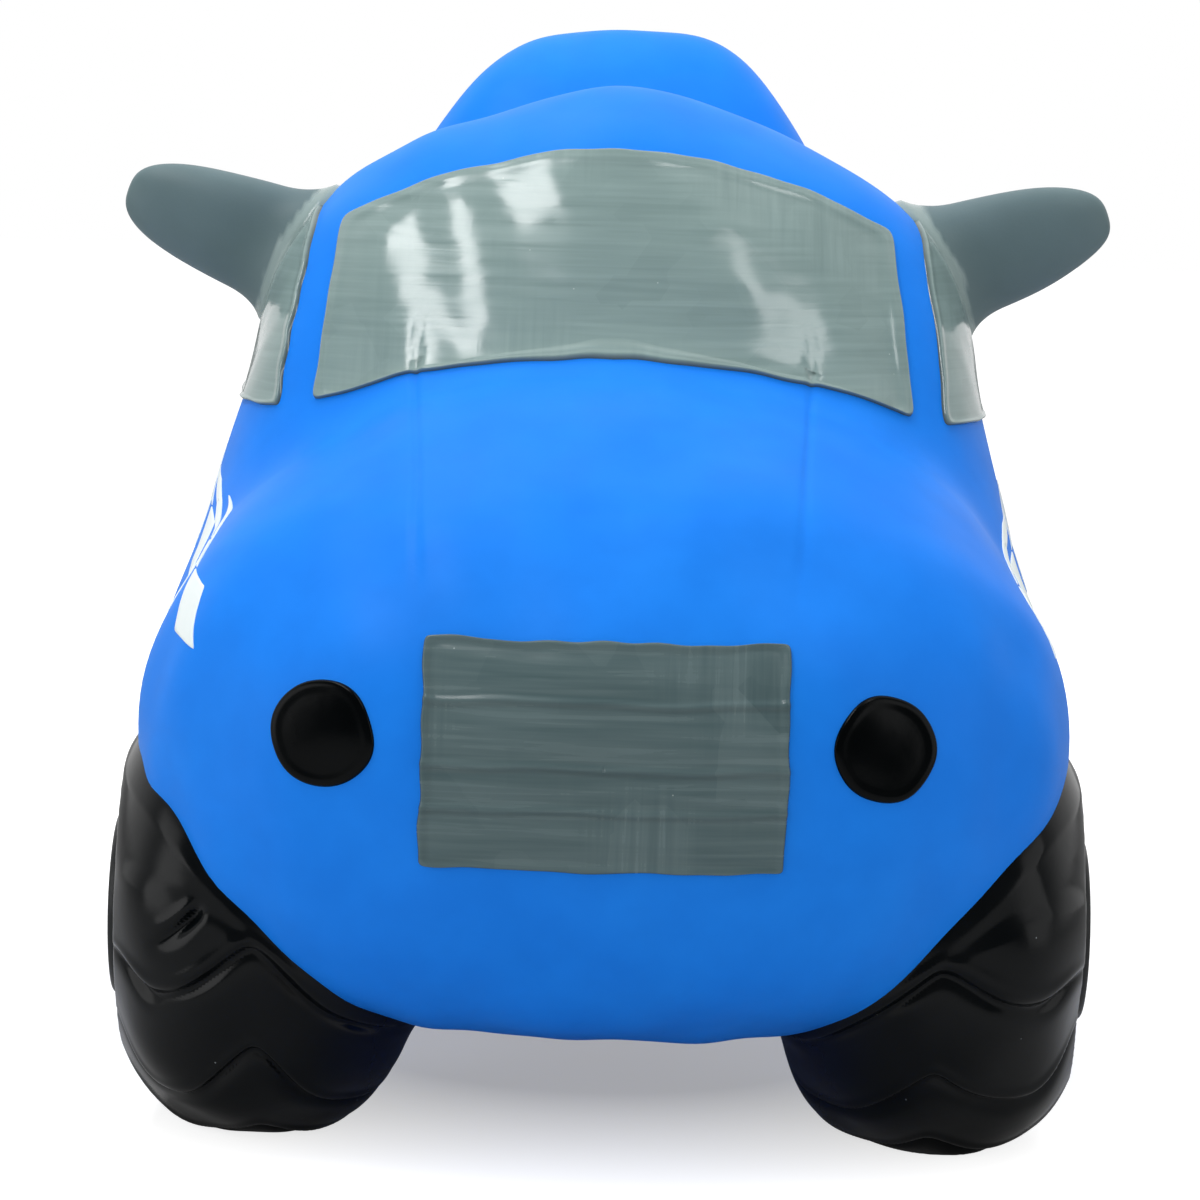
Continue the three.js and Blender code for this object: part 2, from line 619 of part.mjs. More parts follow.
function valvePlug() {
  const stem = VALVE_BORE_RADIUS - SEAT_GAP;
  const profile = [
    [0, -PLUG_STEM_LENGTH],
    [PLUG_TIP_RADIUS, -PLUG_STEM_LENGTH],
    [stem, -PLUG_STEM_LENGTH / 2],
    [stem, 0],
    [PLUG_HEAD_RADIUS, 0],
    [PLUG_HEAD_RADIUS, PLUG_HEAD / 2],
    [PLUG_HEAD_RADIUS - PLUG_HEAD / 2, PLUG_HEAD],
    [0, PLUG_HEAD],
  ];
  const tabEnd = plugStart + PLUG_HEAD + PLUG_TAB_HEIGHT;
  const tab = boxSolid(
    new THREE.Vector3(-PLUG_TAB_WIDTH / 2, plugStart + PLUG_HEAD / 2, TAIL_HEIGHT - PLUG_TAB / 2),
    new THREE.Vector3(PLUG_TAB_WIDTH / 2, tabEnd, TAIL_HEIGHT + PLUG_TAB / 2),
  );
  return turned(profile, TAILWARD, new THREE.Vector3(0, plugStart, TAIL_HEIGHT)).add(tab);
}

// The body's skin: hollow, open to the tyres and handles, with a land and a hole for the valve.
function bodyShell() {
  const behind = (y) => boxSolid(new THREE.Vector3(-FAR, y, -FAR), new THREE.Vector3(FAR, FAR, FAR));
  const holeRadius = VALVE_SLEEVE_RADIUS + SEAT_GAP;
  const holeProfile = [
    [0, -VALVE_SLEEVE_LENGTH],
    [holeRadius, -VALVE_SLEEVE_LENGTH],
    [holeRadius, VALVE_SLEEVE_LENGTH],
    [0, VALVE_SLEEVE_LENGTH],
  ];
  const hole = turned(holeProfile, TAILWARD, new THREE.Vector3(0, landingY, TAIL_HEIGHT));
  const hollow = lining.subtract(behind(landingY - WALL));
  const cuts = [behind(landingY), hollow, hole, ...[...wheels, ...handles].map((piece) => piece.cavity)];
  return cuts.reduce((shell, cut) => shell.subtract(cut), outside);
}

// Assembly

const hopper = new THREE.Group();
// The grille leads the nose and the plug's tab trails the tail: the origin lies midway between them.
const leadingY = yAt(0) - SEAT_GAP - PAINT;
const trailingY = plugStart + PLUG_HEAD + PLUG_TAB_HEIGHT;
hopper.position.y = -(leadingY + trailingY) / 2;

function addPiece(name, solid, material) {
  const mesh = new THREE.Mesh(toGeometry(solid), material.clone());
  mesh.name = name;
  hopper.add(mesh);
}

addPiece("body_shell", bodyShell(), BLUE_PVC);
for (const wheel of wheels) {
  addPiece(`${wheel.name}_tyre`, wheel.barrel.subtract(wheel.cavity).subtract(seated), BLACK_PAINT);
  addPiece(`${wheel.name}_wheel_disc`, wheel.disc, SILVER_PAINT);
}
for (const handle of handles) {
  const side = SIDES[handle.name];
  addPiece(`${handle.name}_handle_root`, handle.root, HANDLE_GREY);
  addPiece(`${handle.name}_handle`, handle.grip, HANDLE_GREY);
  addPiece(`${handle.name}_side_window`, sideWindow(side, handle), WINDOW_GREY);
  addPiece(`${handle.name}_checker_band`, checkerBand(side), WHITE_TRANSFER);
  const headlampX = (side * HEADLAMP_SPACING) / 2;
  const tailLampX = (side * TAIL_LAMP_SPACING) / 2;
  addPiece(
    `${handle.name}_headlamp`,
    lamp(headlampX, HEADLAMP_HEIGHT, HEADLAMP_RADIUS, -PANEL_CORNER, NOSE_RUN),
    BLACK_PAINT,
  );
  addPiece(
    `${handle.name}_tail_lamp`,
    lamp(tailLampX, TAIL_LAMP_HEIGHT, TAIL_LAMP_RADIUS, BODY_LENGTH - TAIL_RUN, BODY_LENGTH + PANEL_CORNER),
    BLACK_PAINT,
  );
}
addPiece("windscreen", windscreen(), WINDOW_GREY);
addPiece("rear_window", rearWindow(), WINDOW_GREY);
addPiece("grille", grille(), GRILLE_GREY);
addPiece("valve_seat", valveSeat(), WHITE_PLUG);
addPiece("valve_plug", valvePlug(), WHITE_PLUG);

export default hopper;
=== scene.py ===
"""Looks of an inflatable car hopper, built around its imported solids.

The toy is one blown skin of soft vinyl in the shape of a chunky car, with windows, grille, lamps and
tyres painted on by hand. All pieces follow one formula of the skin, so that paint lies on the vinyl
and the tyres and handles flow into the body. Shapes are worked out in millimetres in the part's own
frame, with the nose towards -Y, and turn into metres where a mesh is made.
"""

import functools
import logging
import math
from dataclasses import dataclass
from enum import Enum
from typing import Any, Callable

import bpy
import numpy as np
from mathutils import Matrix, Quaternion, Vector


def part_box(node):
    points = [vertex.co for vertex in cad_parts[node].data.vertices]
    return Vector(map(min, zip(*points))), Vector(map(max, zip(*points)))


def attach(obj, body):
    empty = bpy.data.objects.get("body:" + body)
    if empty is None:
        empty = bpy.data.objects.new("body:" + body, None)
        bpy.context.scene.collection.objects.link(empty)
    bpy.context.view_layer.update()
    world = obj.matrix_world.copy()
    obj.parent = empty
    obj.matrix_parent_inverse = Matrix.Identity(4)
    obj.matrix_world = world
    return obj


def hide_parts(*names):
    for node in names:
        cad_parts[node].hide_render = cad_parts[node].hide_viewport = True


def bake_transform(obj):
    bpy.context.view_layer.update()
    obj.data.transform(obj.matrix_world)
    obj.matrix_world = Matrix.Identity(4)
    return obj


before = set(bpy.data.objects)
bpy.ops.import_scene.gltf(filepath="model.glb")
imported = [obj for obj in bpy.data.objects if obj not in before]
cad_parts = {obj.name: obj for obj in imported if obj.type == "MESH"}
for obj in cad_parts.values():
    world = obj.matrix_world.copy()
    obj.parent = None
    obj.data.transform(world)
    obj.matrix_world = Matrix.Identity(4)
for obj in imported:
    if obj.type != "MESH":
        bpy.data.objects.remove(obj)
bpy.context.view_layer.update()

LOG = logging.getLogger("car_hopper")
MM = 0.001
SEARCH_STEPS = 30
TINY = 1e-9

Array = np.ndarray
Pair = tuple[float, float]
Place = tuple[float, float, float]
Socket = bpy.types.NodeSocket
Thing = bpy.types.Object


class View(Enum):
    """Where a painter stands to draw an outline on the skin."""

    FRONT = "front"
    BACK = "back"
    LEFT = "left"
    RIGHT = "right"


class Side(Enum):
    """The two sides of the toy, as its rider names them."""

    LEFT = 1
    RIGHT = -1

    @property
    def word(self) -> str:
        """The side's name as it stands in node names."""
        return self.name.lower()

    @property
    def view(self) -> View:
        """Where a painter of this side stands."""
        return View[self.name]


def node_box(node: str) -> tuple[Array, Array]:
    """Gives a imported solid's lowest and highest corners in millimetres."""
    low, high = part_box(node)
    return np.array(low) / MM, np.array(high) / MM


def full_turn(steps: int) -> Array:
    """Gives even angles once round, in radians."""
    return np.linspace(0.0, math.tau, steps, endpoint=False)


def wrapped(angle: Array) -> Array:
    """Gives the same angles as less than half a turn either way."""
    return (angle + math.pi) % math.tau - math.pi


def squared_circle(turn: Array, power: float) -> list[Array]:
    """Gives the cosine and sine of a circle, squared off by a power below 1."""
    return [np.sign(f) * np.abs(f) ** power for f in (np.cos(turn), np.sin(turn))]


def rounded_end(distance: Array, run: float, squareness: float) -> Array:
    """Gives the share of full size at a distance from an end that rounds off over a run."""
    share = np.clip(distance / run, 0.0, 1.0)
    return (1.0 - (1.0 - share) ** squareness) ** (1.0 / squareness)


def super_norm(a: Array, b: Array, power: Array | float) -> Array:
    """Gives the length of (a, b) measured with a superellipse of that power."""
    return (np.abs(a) ** power + np.abs(b) ** power) ** (1.0 / power)


def filleted_union(a: Array, b: Array, reach: float) -> Array:
    """Joins two fields, which are below zero inside, with a soft fillet of that reach."""
    overlap = np.maximum(reach - np.abs(a - b), 0.0) / reach
    return np.minimum(a, b) - overlap**2 * reach / 4.0


def soft_step(value: Array, start: float, end: float) -> Array:
    """Rises smoothly from 0 at start to 1 at end."""
    share = np.clip((value - start) / (end - start), 0.0, 1.0)
    return share * share * (3.0 - 2.0 * share)


def soft_drop(value: Array, start: float, end: float) -> Array:
    """Falls smoothly from 1 at start to 0 at end."""
    return 1.0 - soft_step(value, start, end)


def bell(away: Array, width: float) -> Array:
    """Gives a soft bump: 1 in its middle, about a third one width away from it."""
    return np.exp(-((away / width) ** 2))


def last_inside(inside_at: Callable[[Array], Array], low: Array, high: Array) -> Array:
    """Halves a span until it closes on the place where a test stops holding.

    Args:
        inside_at: Tells for each distance whether it is still inside.
        low: Distances that are inside.
        high: Distances that are outside.

    Returns:
        The distances of the crossing.
    """
    for _ in range(SEARCH_STEPS):
        middle = (low + high) / 2.0
        inside = inside_at(middle)
        low, high = np.where(inside, middle, low), np.where(inside, high, middle)
    return low


@dataclass(frozen=True)
class Ripple:
    """Soft unevenness of a hand-finished skin: sine waves in fixed, seeded directions."""

    wavelength: float
    height: float
    seed: int
    waves: int = 16
    length_range: Pair = (0.7, 1.5)

    def at(self, points: Array) -> Array:
        """Gives the unevenness at points.

        Args:
            points: Places in millimetres, with three coordinates in the last axis.

        Returns:
            Heights of about plus or minus the ripple's height.
        """
        draw = np.random.default_rng(self.seed)
        directions = draw.normal(size=(self.waves, 3))
        directions /= np.linalg.norm(directions, axis=1, keepdims=True)
        lengths = self.wavelength * draw.uniform(*self.length_range, self.waves)
        phases = draw.uniform(0.0, math.tau, self.waves)
        total = np.zeros(points.shape[:-1])
        for direction, length, phase in zip(directions, lengths, phases):
            total += np.sin(points @ direction * (math.tau / length) + phase)
        return self.height * total / math.sqrt(self.waves)


class SmoothLine:
    """A smooth line through a few stations that never overshoots them."""

    def __init__(self, stations: list[Pair]) -> None:
        """Works out the slope at each station.

        Args:
            stations: Pairs of depth and height, in order.
        """
        self.depths, self.heights = np.array(stations).T
        self.runs = np.diff(self.depths)
        secants = np.diff(self.heights) / self.runs
        before, after = secants[:-1], secants[1:]
        same_way = before * after > 0.0
        total = np.where(same_way, before + after, 1.0)
        inner = np.where(same_way, 2.0 * before * after / total, 0.0)
        self.slopes = np.concatenate([secants[:1], inner, secants[-1:]])

    def __call__(self, depth: Array) -> Array:
        """Gives the height of the line.

        Args:
            depth: Where along the line.

        Returns:
            One height for each depth.
        """
        i = np.clip(np.searchsorted(self.depths, depth) - 1, 0, len(self.runs) - 1)
        run = self.runs[i]
        t = np.clip((depth - self.depths[i]) / run, 0.0, 1.0)
        from_start = self.heights[i] * (1.0 + 2.0 * t) + self.slopes[i] * run * t
        from_end = self.heights[i + 1] * (3.0 - 2.0 * t) - self.slopes[i + 1] * run * (1.0 - t)
        return from_start * (1.0 - t) ** 2 + from_end * t**2


@dataclass
class BodyForm:
    """The blown skin as one formula: a rounded hull with a cab and a tail hump filleted on."""

    length: float = 530.0
    width: float = 294.0
    belly: float = 40.0
    flank: float = 124.0
    nose_height: float = 134.0
    tail_height: float = 132.0
    bonnet_front: float = 190.0
    cowl_depth: float = 130.0
    cowl_height: float = 243.0
    saddle_height: float = 270.0
    deck_height: float = 264.0
    boot_height: float = 236.0
    hull_squareness: float = 2.1
    belly_squareness: float = 2.6
    nose_run: float = 75.0
    nose_plan_run: float = 110.0
    tail_run: float = 80.0
    tail_plan_run: float = 125.0
    end_squareness: float = 2.4
    cab_depth: float = 235.0
    cab_base: float = 215.0
    cab_width: float = 246.0
    cab_length: float = 200.0
    roof_height: float = 333.0
    roof_fall: float = 37.0
    roof_crest: float = 0.12
    cab_side_squareness: float = 4.2
    cab_profile_squareness: float = 1.9
    cab_fillet: float = 24.0
    hump_to_tail: float = 108.0
    hump_base: float = 285.0
    hump_width: float = 172.0
    hump_length: float = 148.0
    hump_height: float = 357.0
    hump_draft: float = 0.48
    hump_side_squareness: float = 4.0
    hump_profile_squareness: float = 2.5
    hump_fillet: float = 34.0
    hump_softness: float = 14.0
    bonnet_line_rear: float = 63.0
    bonnet_line_front: float = 55.5
    bonnet_line_width: float = 1.1
    bonnet_line_depth: float = 0.8
    bonnet_line_end: float = 25.0
    bonnet_line_foot: Pair = (-14.0, 8.0)
    dents: tuple[Ripple, ...] = (Ripple(72.0, 0.9, 11), Ripple(38.0, 0.42, 12))
    wrinkles: Ripple = Ripple(30.0, 1.0, 13)
    wrinkle_squeeze: Place = (1.0, 1.0, 0.4)
    cheek_sides: Pair = (0.27, 0.42)
    cheek_ends: Pair = (55.0, 110.0)
    cheek_tops: Pair = (25.0, 85.0)
    belly_rim: Pair = (12.0, 40.0)
    belly_wrinkle: float = 0.5
    sight_share: float = 0.6
    sight_steps: int = 110

    def __post_init__(self) -> None:
        """Sets the lines that the hull follows and its place in the frame."""
        self.nose_y = float(node_box("body_shell")[0][1])
        self.hump_depth = self.length - self.hump_to_tail
        self.deck_line = SmoothLine([
            (0.0, self.bonnet_front),
            (self.cowl_depth, self.cowl_height),
            ((self.cab_depth + self.hump_depth) / 2.0, self.saddle_height),
            (self.hump_depth, self.deck_height),
            (self.length, self.boot_height),
        ])
        self.axis_line = SmoothLine([
            (0.0, self.nose_height),
            (self.nose_plan_run, self.flank),
            (self.length - self.tail_plan_run, self.flank),
            (self.length, self.tail_height),
        ])

    def _hull(self, x: Array, depth: Array, z: Array) -> Array:
        """Gives the field of the long rounded hull.

        Args:
            x: Places across.
            depth: Places behind the nose.
            z: Heights.

        Returns:
            Values below zero inside.
        """
        rear = self.length - depth
        square = self.end_squareness
        plan = rounded_end(depth, self.nose_plan_run, square) * rounded_end(rear, self.tail_plan_run, square)
        side = rounded_end(depth, self.nose_run, square) * rounded_end(rear, self.tail_run, square)
        axis = self.axis_line(depth)
        reach = np.where(z > axis, self.deck_line(depth) - axis, axis - self.belly)
        across = x / np.maximum(self.width / 2.0 * plan, TINY)
        up = (z - axis) / np.maximum(reach * side, TINY)
        squareness = np.where(z > axis, self.hull_squareness, self.belly_squareness)
        return (super_norm(across, up, squareness) - 1.0) * (self.flank - self.belly)

    def _column_rise(self, z: Array, base: float, softness: float = 0.0) -> Array:
        """Height above a dome's base, eased in, where the dome's column closes again below the flanks."""
        rise = np.maximum(z - base, 2.0 * (self.flank - z))
        return (rise + np.hypot(rise, softness)) / 2.0

    def _cab(self, x: Array, depth: Array, z: Array) -> Array:
        """Gives the field of the cab's dome, for the same places as the hull's."""
        height = self.roof_height - self.cab_base
        aside = np.abs(x) / (self.cab_width / 2.0)
        fall = np.hypot(aside, self.roof_crest) - self.roof_crest
        rise = self._column_rise(z + self.roof_fall * fall, self.cab_base) / height
        along = (depth - self.cab_depth) / (self.cab_length / 2.0)
        profile = super_norm(along, rise, self.cab_profile_squareness)
        return (super_norm(aside, profile, self.cab_side_squareness) - 1.0) * height

    def _hump(self, x: Array, depth: Array, z: Array) -> Array:
        """Gives the field of the hump behind the rider, for the same places as the hull's."""
        height = self.hump_height - self.hump_base
        rise = self._column_rise(z, self.hump_base, self.hump_softness)
        half_width = np.maximum(self.hump_width / 2.0 - self.hump_draft * rise, self.hump_fillet)
        half_length = np.maximum(self.hump_length / 2.0 - self.hump_draft * rise, self.hump_fillet)
        along = (depth - self.hump_depth) / half_length
        profile = super_norm(along, rise / height, self.hump_profile_squareness)
        return (super_norm(x / half_width, profile, self.hump_side_squareness) - 1.0) * height

    def distance(self, points: Array) -> Array:
        """Gives the field of the skin.

        Args:
            points: Places in millimetres in the part's frame.

        Returns:
            Values below zero inside the toy and zero on its skin.
        """
        spot = points[..., 0], points[..., 1] - self.nose_y, points[..., 2]
        with_cab = filleted_union(self._hull(*spot), self._cab(*spot), self.cab_fillet)
        return filleted_union(with_cab, self._hump(*spot), self.hump_fillet)

    def normal(self, points: Array, step: float = 0.2) -> Array:
        """Gives the outward direction of the skin at points on it."""
        slopes = [self.distance(points + s) - self.distance(points - s) for s in np.eye(3) * step]
        gradient = np.stack(slopes, axis=-1)
        return gradient / np.maximum(np.linalg.norm(gradient, axis=-1, keepdims=True), TINY)

    def unevenness(self, points: Array) -> Array:
        """Gives how far the real skin stands out from the formula at points on it.

        Args:
            points: Places on the skin.

        Returns:
            Heights in millimetres; the bonnet's two moulded lines are below zero.
        """
        aside, depth, height = np.abs(points[..., 0]), points[..., 1] - self.nose_y, points[..., 2]
        from_end = np.minimum(depth, self.length - depth)
        cheek = soft_step(aside / self.width, *self.cheek_sides) * soft_drop(from_end, *self.cheek_ends)
        under = self.belly_wrinkle * soft_drop(height - self.belly, *self.belly_rim)
        low = soft_drop(height - self.flank, *self.cheek_tops)
        total = sum(dent.at(points) for dent in self.dents)
        total += self.wrinkles.at(points * self.wrinkle_squeeze) * low * np.maximum(cheek, under)
        share = np.clip(depth / self.cowl_depth, 0.0, 1.0)
        line = self.bonnet_line_front + (self.bonnet_line_rear - self.bonnet_line_front) * share
        groove = self.bonnet_line_depth * bell(aside - line, self.bonnet_line_width)
        on_bonnet = soft_drop(depth - self.cowl_depth, 0.0, self.bonnet_line_end)
        return total - groove * on_bonnet * soft_step(height - self.bonnet_front, *self.bonnet_line_foot)

    def lift(self, points: Array, height: Array | float) -> Array:
        """Moves points from the formula's surface to a height above the real, uneven skin."""
        rise = self.unevenness(points) + height
        return points + self.normal(points) * rise[..., None]

    def seen_from(self, view: View, across: Array, up: Array) -> Array:
        """Finds the points of the skin that a viewer sees.

        Args:
            view: Where the viewer stands.
            across: X from the front or back, Y from a side, one for each line of sight.
            up: Heights, one for each line of sight.

        Returns:
            One point on the skin for each line of sight.
        """
        middle_y = self.nose_y + self.sight_share * self.length
        beside = self.sight_share * self.width
        near, far = {
            View.FRONT: (self.nose_y - 1.0, middle_y),
            View.BACK: (self.nose_y + self.length + 1.0, middle_y),
            View.LEFT: (beside, 0.0),
            View.RIGHT: (-beside, 0.0),
        }[view]

        def place(distance: Array) -> Array:
            """Puts each line of sight's distance into the frame."""
            level = [across, distance] if view in (View.FRONT, View.BACK) else [distance, across]
            return np.stack([*level, up], axis=-1)

        stations = np.linspace(near, far, self.sight_steps)
        outside = np.array([self.distance(place(np.full(up.shape, s))) > 0.0 for s in stations])
        first = np.clip(np.argmin(outside, axis=0), 1, len(stations) - 1)
        before, after = stations[first - 1], stations[first]
        return place(last_inside(lambda d: self.distance(place(d)) > 0.0, before, after))


def ring_faces(rings: int, sides: int) -> tuple[Array, Array]:
    """Makes the faces of a closed form from rings of points, with a point at each end.

    Args:
        rings: How many rings there are.
        sides: How many points each ring has.

    Returns:
        Quads between the rings, and triangles to the end points, which follow the rings' points.
    """
    side = np.arange(sides)
    after = (side + 1) % sides
    starts = np.arange(rings - 1)[:, None] * sides
    quads = np.stack([starts + side, starts + after, starts + sides + after, starts + sides + side], axis=-1)
    last = (rings - 1) * sides
    first_pole = np.full(sides, rings * sides)
    first_fan = np.stack([first_pole, after, side], axis=-1)
    last_fan = np.stack([first_pole + 1, last + side, last + after], axis=-1)
    return quads.reshape(-1, 4), np.concatenate([first_fan, last_fan])


def stand(name: str, data: bpy.types.ID) -> Thing:
    """Puts a mesh, a lamp or a camera into the scene as an object of that name."""
    thing = bpy.data.objects.new(name, data)
    bpy.context.scene.collection.objects.link(thing)
    return thing


def make_mesh(name: str, rings: Array, shares: dict[str, Array] | None = None,
              poles: Array | None = None) -> Thing:
    """Makes a smooth closed mesh from rings of points.

    Args:
        name: The piece's name.
        rings: Points in millimetres, one row for each ring.
        shares: Numbers for each of those points, by name, for the finish to read.
        poles: The two end points; the middles of the end rings where they aren't given.

    Returns:
        The new object, in metres, in the scene.
    """
    ends = rings[[0, -1]].mean(axis=1) if poles is None else poles
    points = np.concatenate([rings.reshape(-1, 3), ends])
    quads, fans = ring_faces(*rings.shape[:2])
    a, b, c = points[np.concatenate([quads[:, :3], quads[:, [0, 2, 3]], fans]).T]
    if np.sum(a * np.cross(b, c)) < 0.0:
        # The volume is below zero, so the faces look inwards and are turned round.
        quads, fans = quads[:, ::-1], fans[:, ::-1]
    mesh = bpy.data.meshes.new(name)
    mesh.from_pydata((points * MM).tolist(), [], quads.tolist() + fans.tolist())
    mesh.polygons.foreach_set("use_smooth", [True] * len(mesh.polygons))
    for label, share in (shares or {}).items():
        numbers = np.concatenate([share.ravel(), share[[0, -1]].mean(axis=1)])
        mesh.attributes.new(label, "FLOAT", "POINT").data.foreach_set("value", numbers.astype(np.float32))
    mesh.update()
    return stand(name, mesh)


def join_pieces(pieces: list[Thing], name: str) -> Thing:
    """Joins objects into the first of them.

    Args:
        pieces: The objects.
        name: What the joined object and its mesh are called.

    Returns:
        The joined object.
    """
    first = pieces[0]
    with bpy.context.temp_override(active_object=first, object=first, selected_objects=pieces,
                                   selected_editable_objects=pieces):
        bpy.ops.object.join()
    first.name = first.data.name = name
    return first


def linear_colour(code: str) -> tuple[float, float, float, float]:
    """Turns an sRGB hex colour into linear red, green and blue, with full opacity."""
    channels = [int(code[i : i + 2], 16) / 255.0 for i in (1, 3, 5)]
    return *(c / 12.92 if c <= 0.04045 else ((c + 0.055) / 1.055) ** 2.4 for c in channels), 1.0


def per_mm(size: float) -> float:
    """Gives the texture scale at which one feature measures size millimetres."""
    return 1.0 / (size * MM)


class NodeKit:
    """The nodes of a material or of the world, with a short way to add each kind in use."""

    def __init__(self, tree: bpy.types.NodeTree) -> None:
        """Takes the tree and adds the coordinates that its patterns follow."""
        self.tree = tree
        self.coordinates = self.add("TexCoord").outputs

    def add(self, kind: str, inputs: dict[str | int, Any] | None = None, **settings: Any) -> bpy.types.Node:
        """Adds one node with its settings and links.

        Args:
            kind: The node's type, without the words that every type begins with.
            inputs: What each input takes, by its name or place.
            settings: The node's own properties.

        Returns:
            The new node.
        """
        node = self.tree.nodes.new(f"ShaderNode{kind}")
        for name, value in settings.items():
            setattr(node, name, value)
        self.feed(node, inputs or {})
        return node

    def feed(self, node: bpy.types.Node, inputs: dict[str | int, Any]) -> None:
        """Fills a node's inputs.

        Args:
            node: The node.
            inputs: Another node's output to link, a hex colour or a value for each input.
        """
        for name, value in inputs.items():
            if isinstance(value, Socket):
                self.tree.links.new(value, node.inputs[name])
            else:
                node.inputs[name].default_value = linear_colour(value) if isinstance(value, str) else value

    def shade(self, inputs: dict[str | int, Any]) -> None:
        """Fills inputs of the material's own shader."""
        self.feed(self.tree.nodes["Principled BSDF"], inputs)

    def noise(self, size: float, detail: float) -> Socket:
        """Adds noise whose features measure size millimetres and gives its value."""
        inputs = {"Vector": self.coordinates["Object"], "Scale": per_mm(size), "Detail": detail}
        return self.add("TexNoise", inputs).outputs["Fac"]

    def spread(self, value: Socket, low: Any = 0.0, high: float = 1.0, start: float = 0.3,
               end: float = 0.7) -> Socket:
        """Maps a value's range, by default the usual range of noise, onto low to high."""
        inputs = {"Value": value, 1: start, 2: end, 3: low, 4: high}
        return self.add("MapRange", inputs).outputs["Result"]

    def mix(self, share: Socket, first: Socket | str, second: str) -> Socket:
        """Mixes two colours by a share and gives the result."""
        return self.add("Mix", {0: share, 6: first, 7: second}, data_type="RGBA").outputs[2]

    def blend(self, share: Socket | float, first: Socket | float, second: Socket | float) -> Socket:
        """Mixes two numbers by a share and gives the result."""
        return self.add("Mix", {0: share, 2: first, 3: second}).outputs[0]

    def measure(self, vector: Socket) -> Socket:
        """Gives the length of a vector."""
        return self.add("VectorMath", {0: vector}, operation="LENGTH").outputs["Value"]

    def painted(self, name: str) -> Socket:
        """Gives the share that the mesh's maker stored under a name."""
        return self.add("Attribute", attribute_name=name).outputs["Fac"]

    def specks(self, spacing: float, size: float, share: float) -> Socket:
        """Scatters dots of a size and spacing in millimetres and gives their mask, at most share."""
        inputs = {"Vector": self.coordinates["Object"], "Scale": per_mm(spacing)}
        distance = self.add("TexVoronoi", inputs).outputs["Distance"]
        return self.spread(distance, share, 0.0, 0.5 * size / spacing, size / spacing)

    def wear(self, base: Socket, gloss: Socket, bumps: list[tuple[Socket, float]]) -> None:
        """Gives the shader its colour, its roughness and a stack of bumps.

        Args:
            base: The colour.
            gloss: The roughness.
            bumps: Height values with the depth of each in millimetres.
        """
        normal = {}
        for height, depth in bumps:
            inputs = {"Height": height, "Distance": depth * MM, "Strength": 1.0, **normal}
            normal = {"Normal": self.add("Bump", inputs).outputs["Normal"]}
        self.shade({"Base Color": base, "Roughness": gloss, **normal})


@dataclass(frozen=True)
class Finish:
    """What every finish has: a name, sRGB colours, a roughness, how it bends light and how much it shines."""

    name: str
    colour: str
    second_colour: str
    roughness: float
    ior: float
    shine: float

    @functools.cache
    def make(self) -> bpy.types.Material:
        """Makes the material, with the pattern of its own kind, and gives the same one each time.

        Returns:
            The node material.
        """
        material = bpy.data.materials.new(self.name)
        material.use_nodes = True
        kit = NodeKit(material.node_tree)
        kit.shade({"IOR": self.ior, "Specular IOR Level": self.shine})
        self.dress(kit)
        return material

    def dress(self, kit: NodeKit) -> None:
        """Adds the pattern; each kind of finish has its own."""
        raise NotImplementedError

    def clouded(self, kit: NodeKit, clouds: Socket) -> Socket:
        """Mixes the finish's two colours by the clouds of a noise."""
        return kit.mix(kit.spread(clouds), self.colour, self.second_colour)


@dataclass(frozen=True)
class SatinVinyl(Finish):
    """Soft PVC, cast in a heated mould: satin, with faint flow clouds and a fine pebbled skin."""

    cloud: float = 110.0
    mottle: float = 17.0
    mottle_share: float = 0.4
    stain: str = "#0d79ea"
    speck_spacing: float = 34.0
    speck: float = 0.5
    speck_share: float = 0.45
    speck_colour: str = "#123a70"
    gloss_range: float = 0.05
    pebble: float = 1.6
    pebble_depth: float = 0.012

    def dress(self, kit: NodeKit) -> None:
        """Clouds and stains the colour, varies the gloss and pebbles the surface; grit leaves dark specks.

        Args:
            kit: The material's nodes.
        """
        base = self.clouded(kit, kit.noise(self.cloud, 3.0))
        base = kit.mix(kit.spread(kit.noise(self.mottle, 3.0), 0.0, self.mottle_share), base, self.stain)
        base = kit.mix(kit.specks(self.speck_spacing, self.speck, self.speck_share), base, self.speck_colour)
        sheen = kit.noise(self.cloud / 3.0, 4.0)
        gloss = kit.spread(sheen, self.roughness - self.gloss_range, self.roughness + self.gloss_range)
        kit.wear(base, gloss, [(kit.noise(self.pebble, 1.0), self.pebble_depth)])


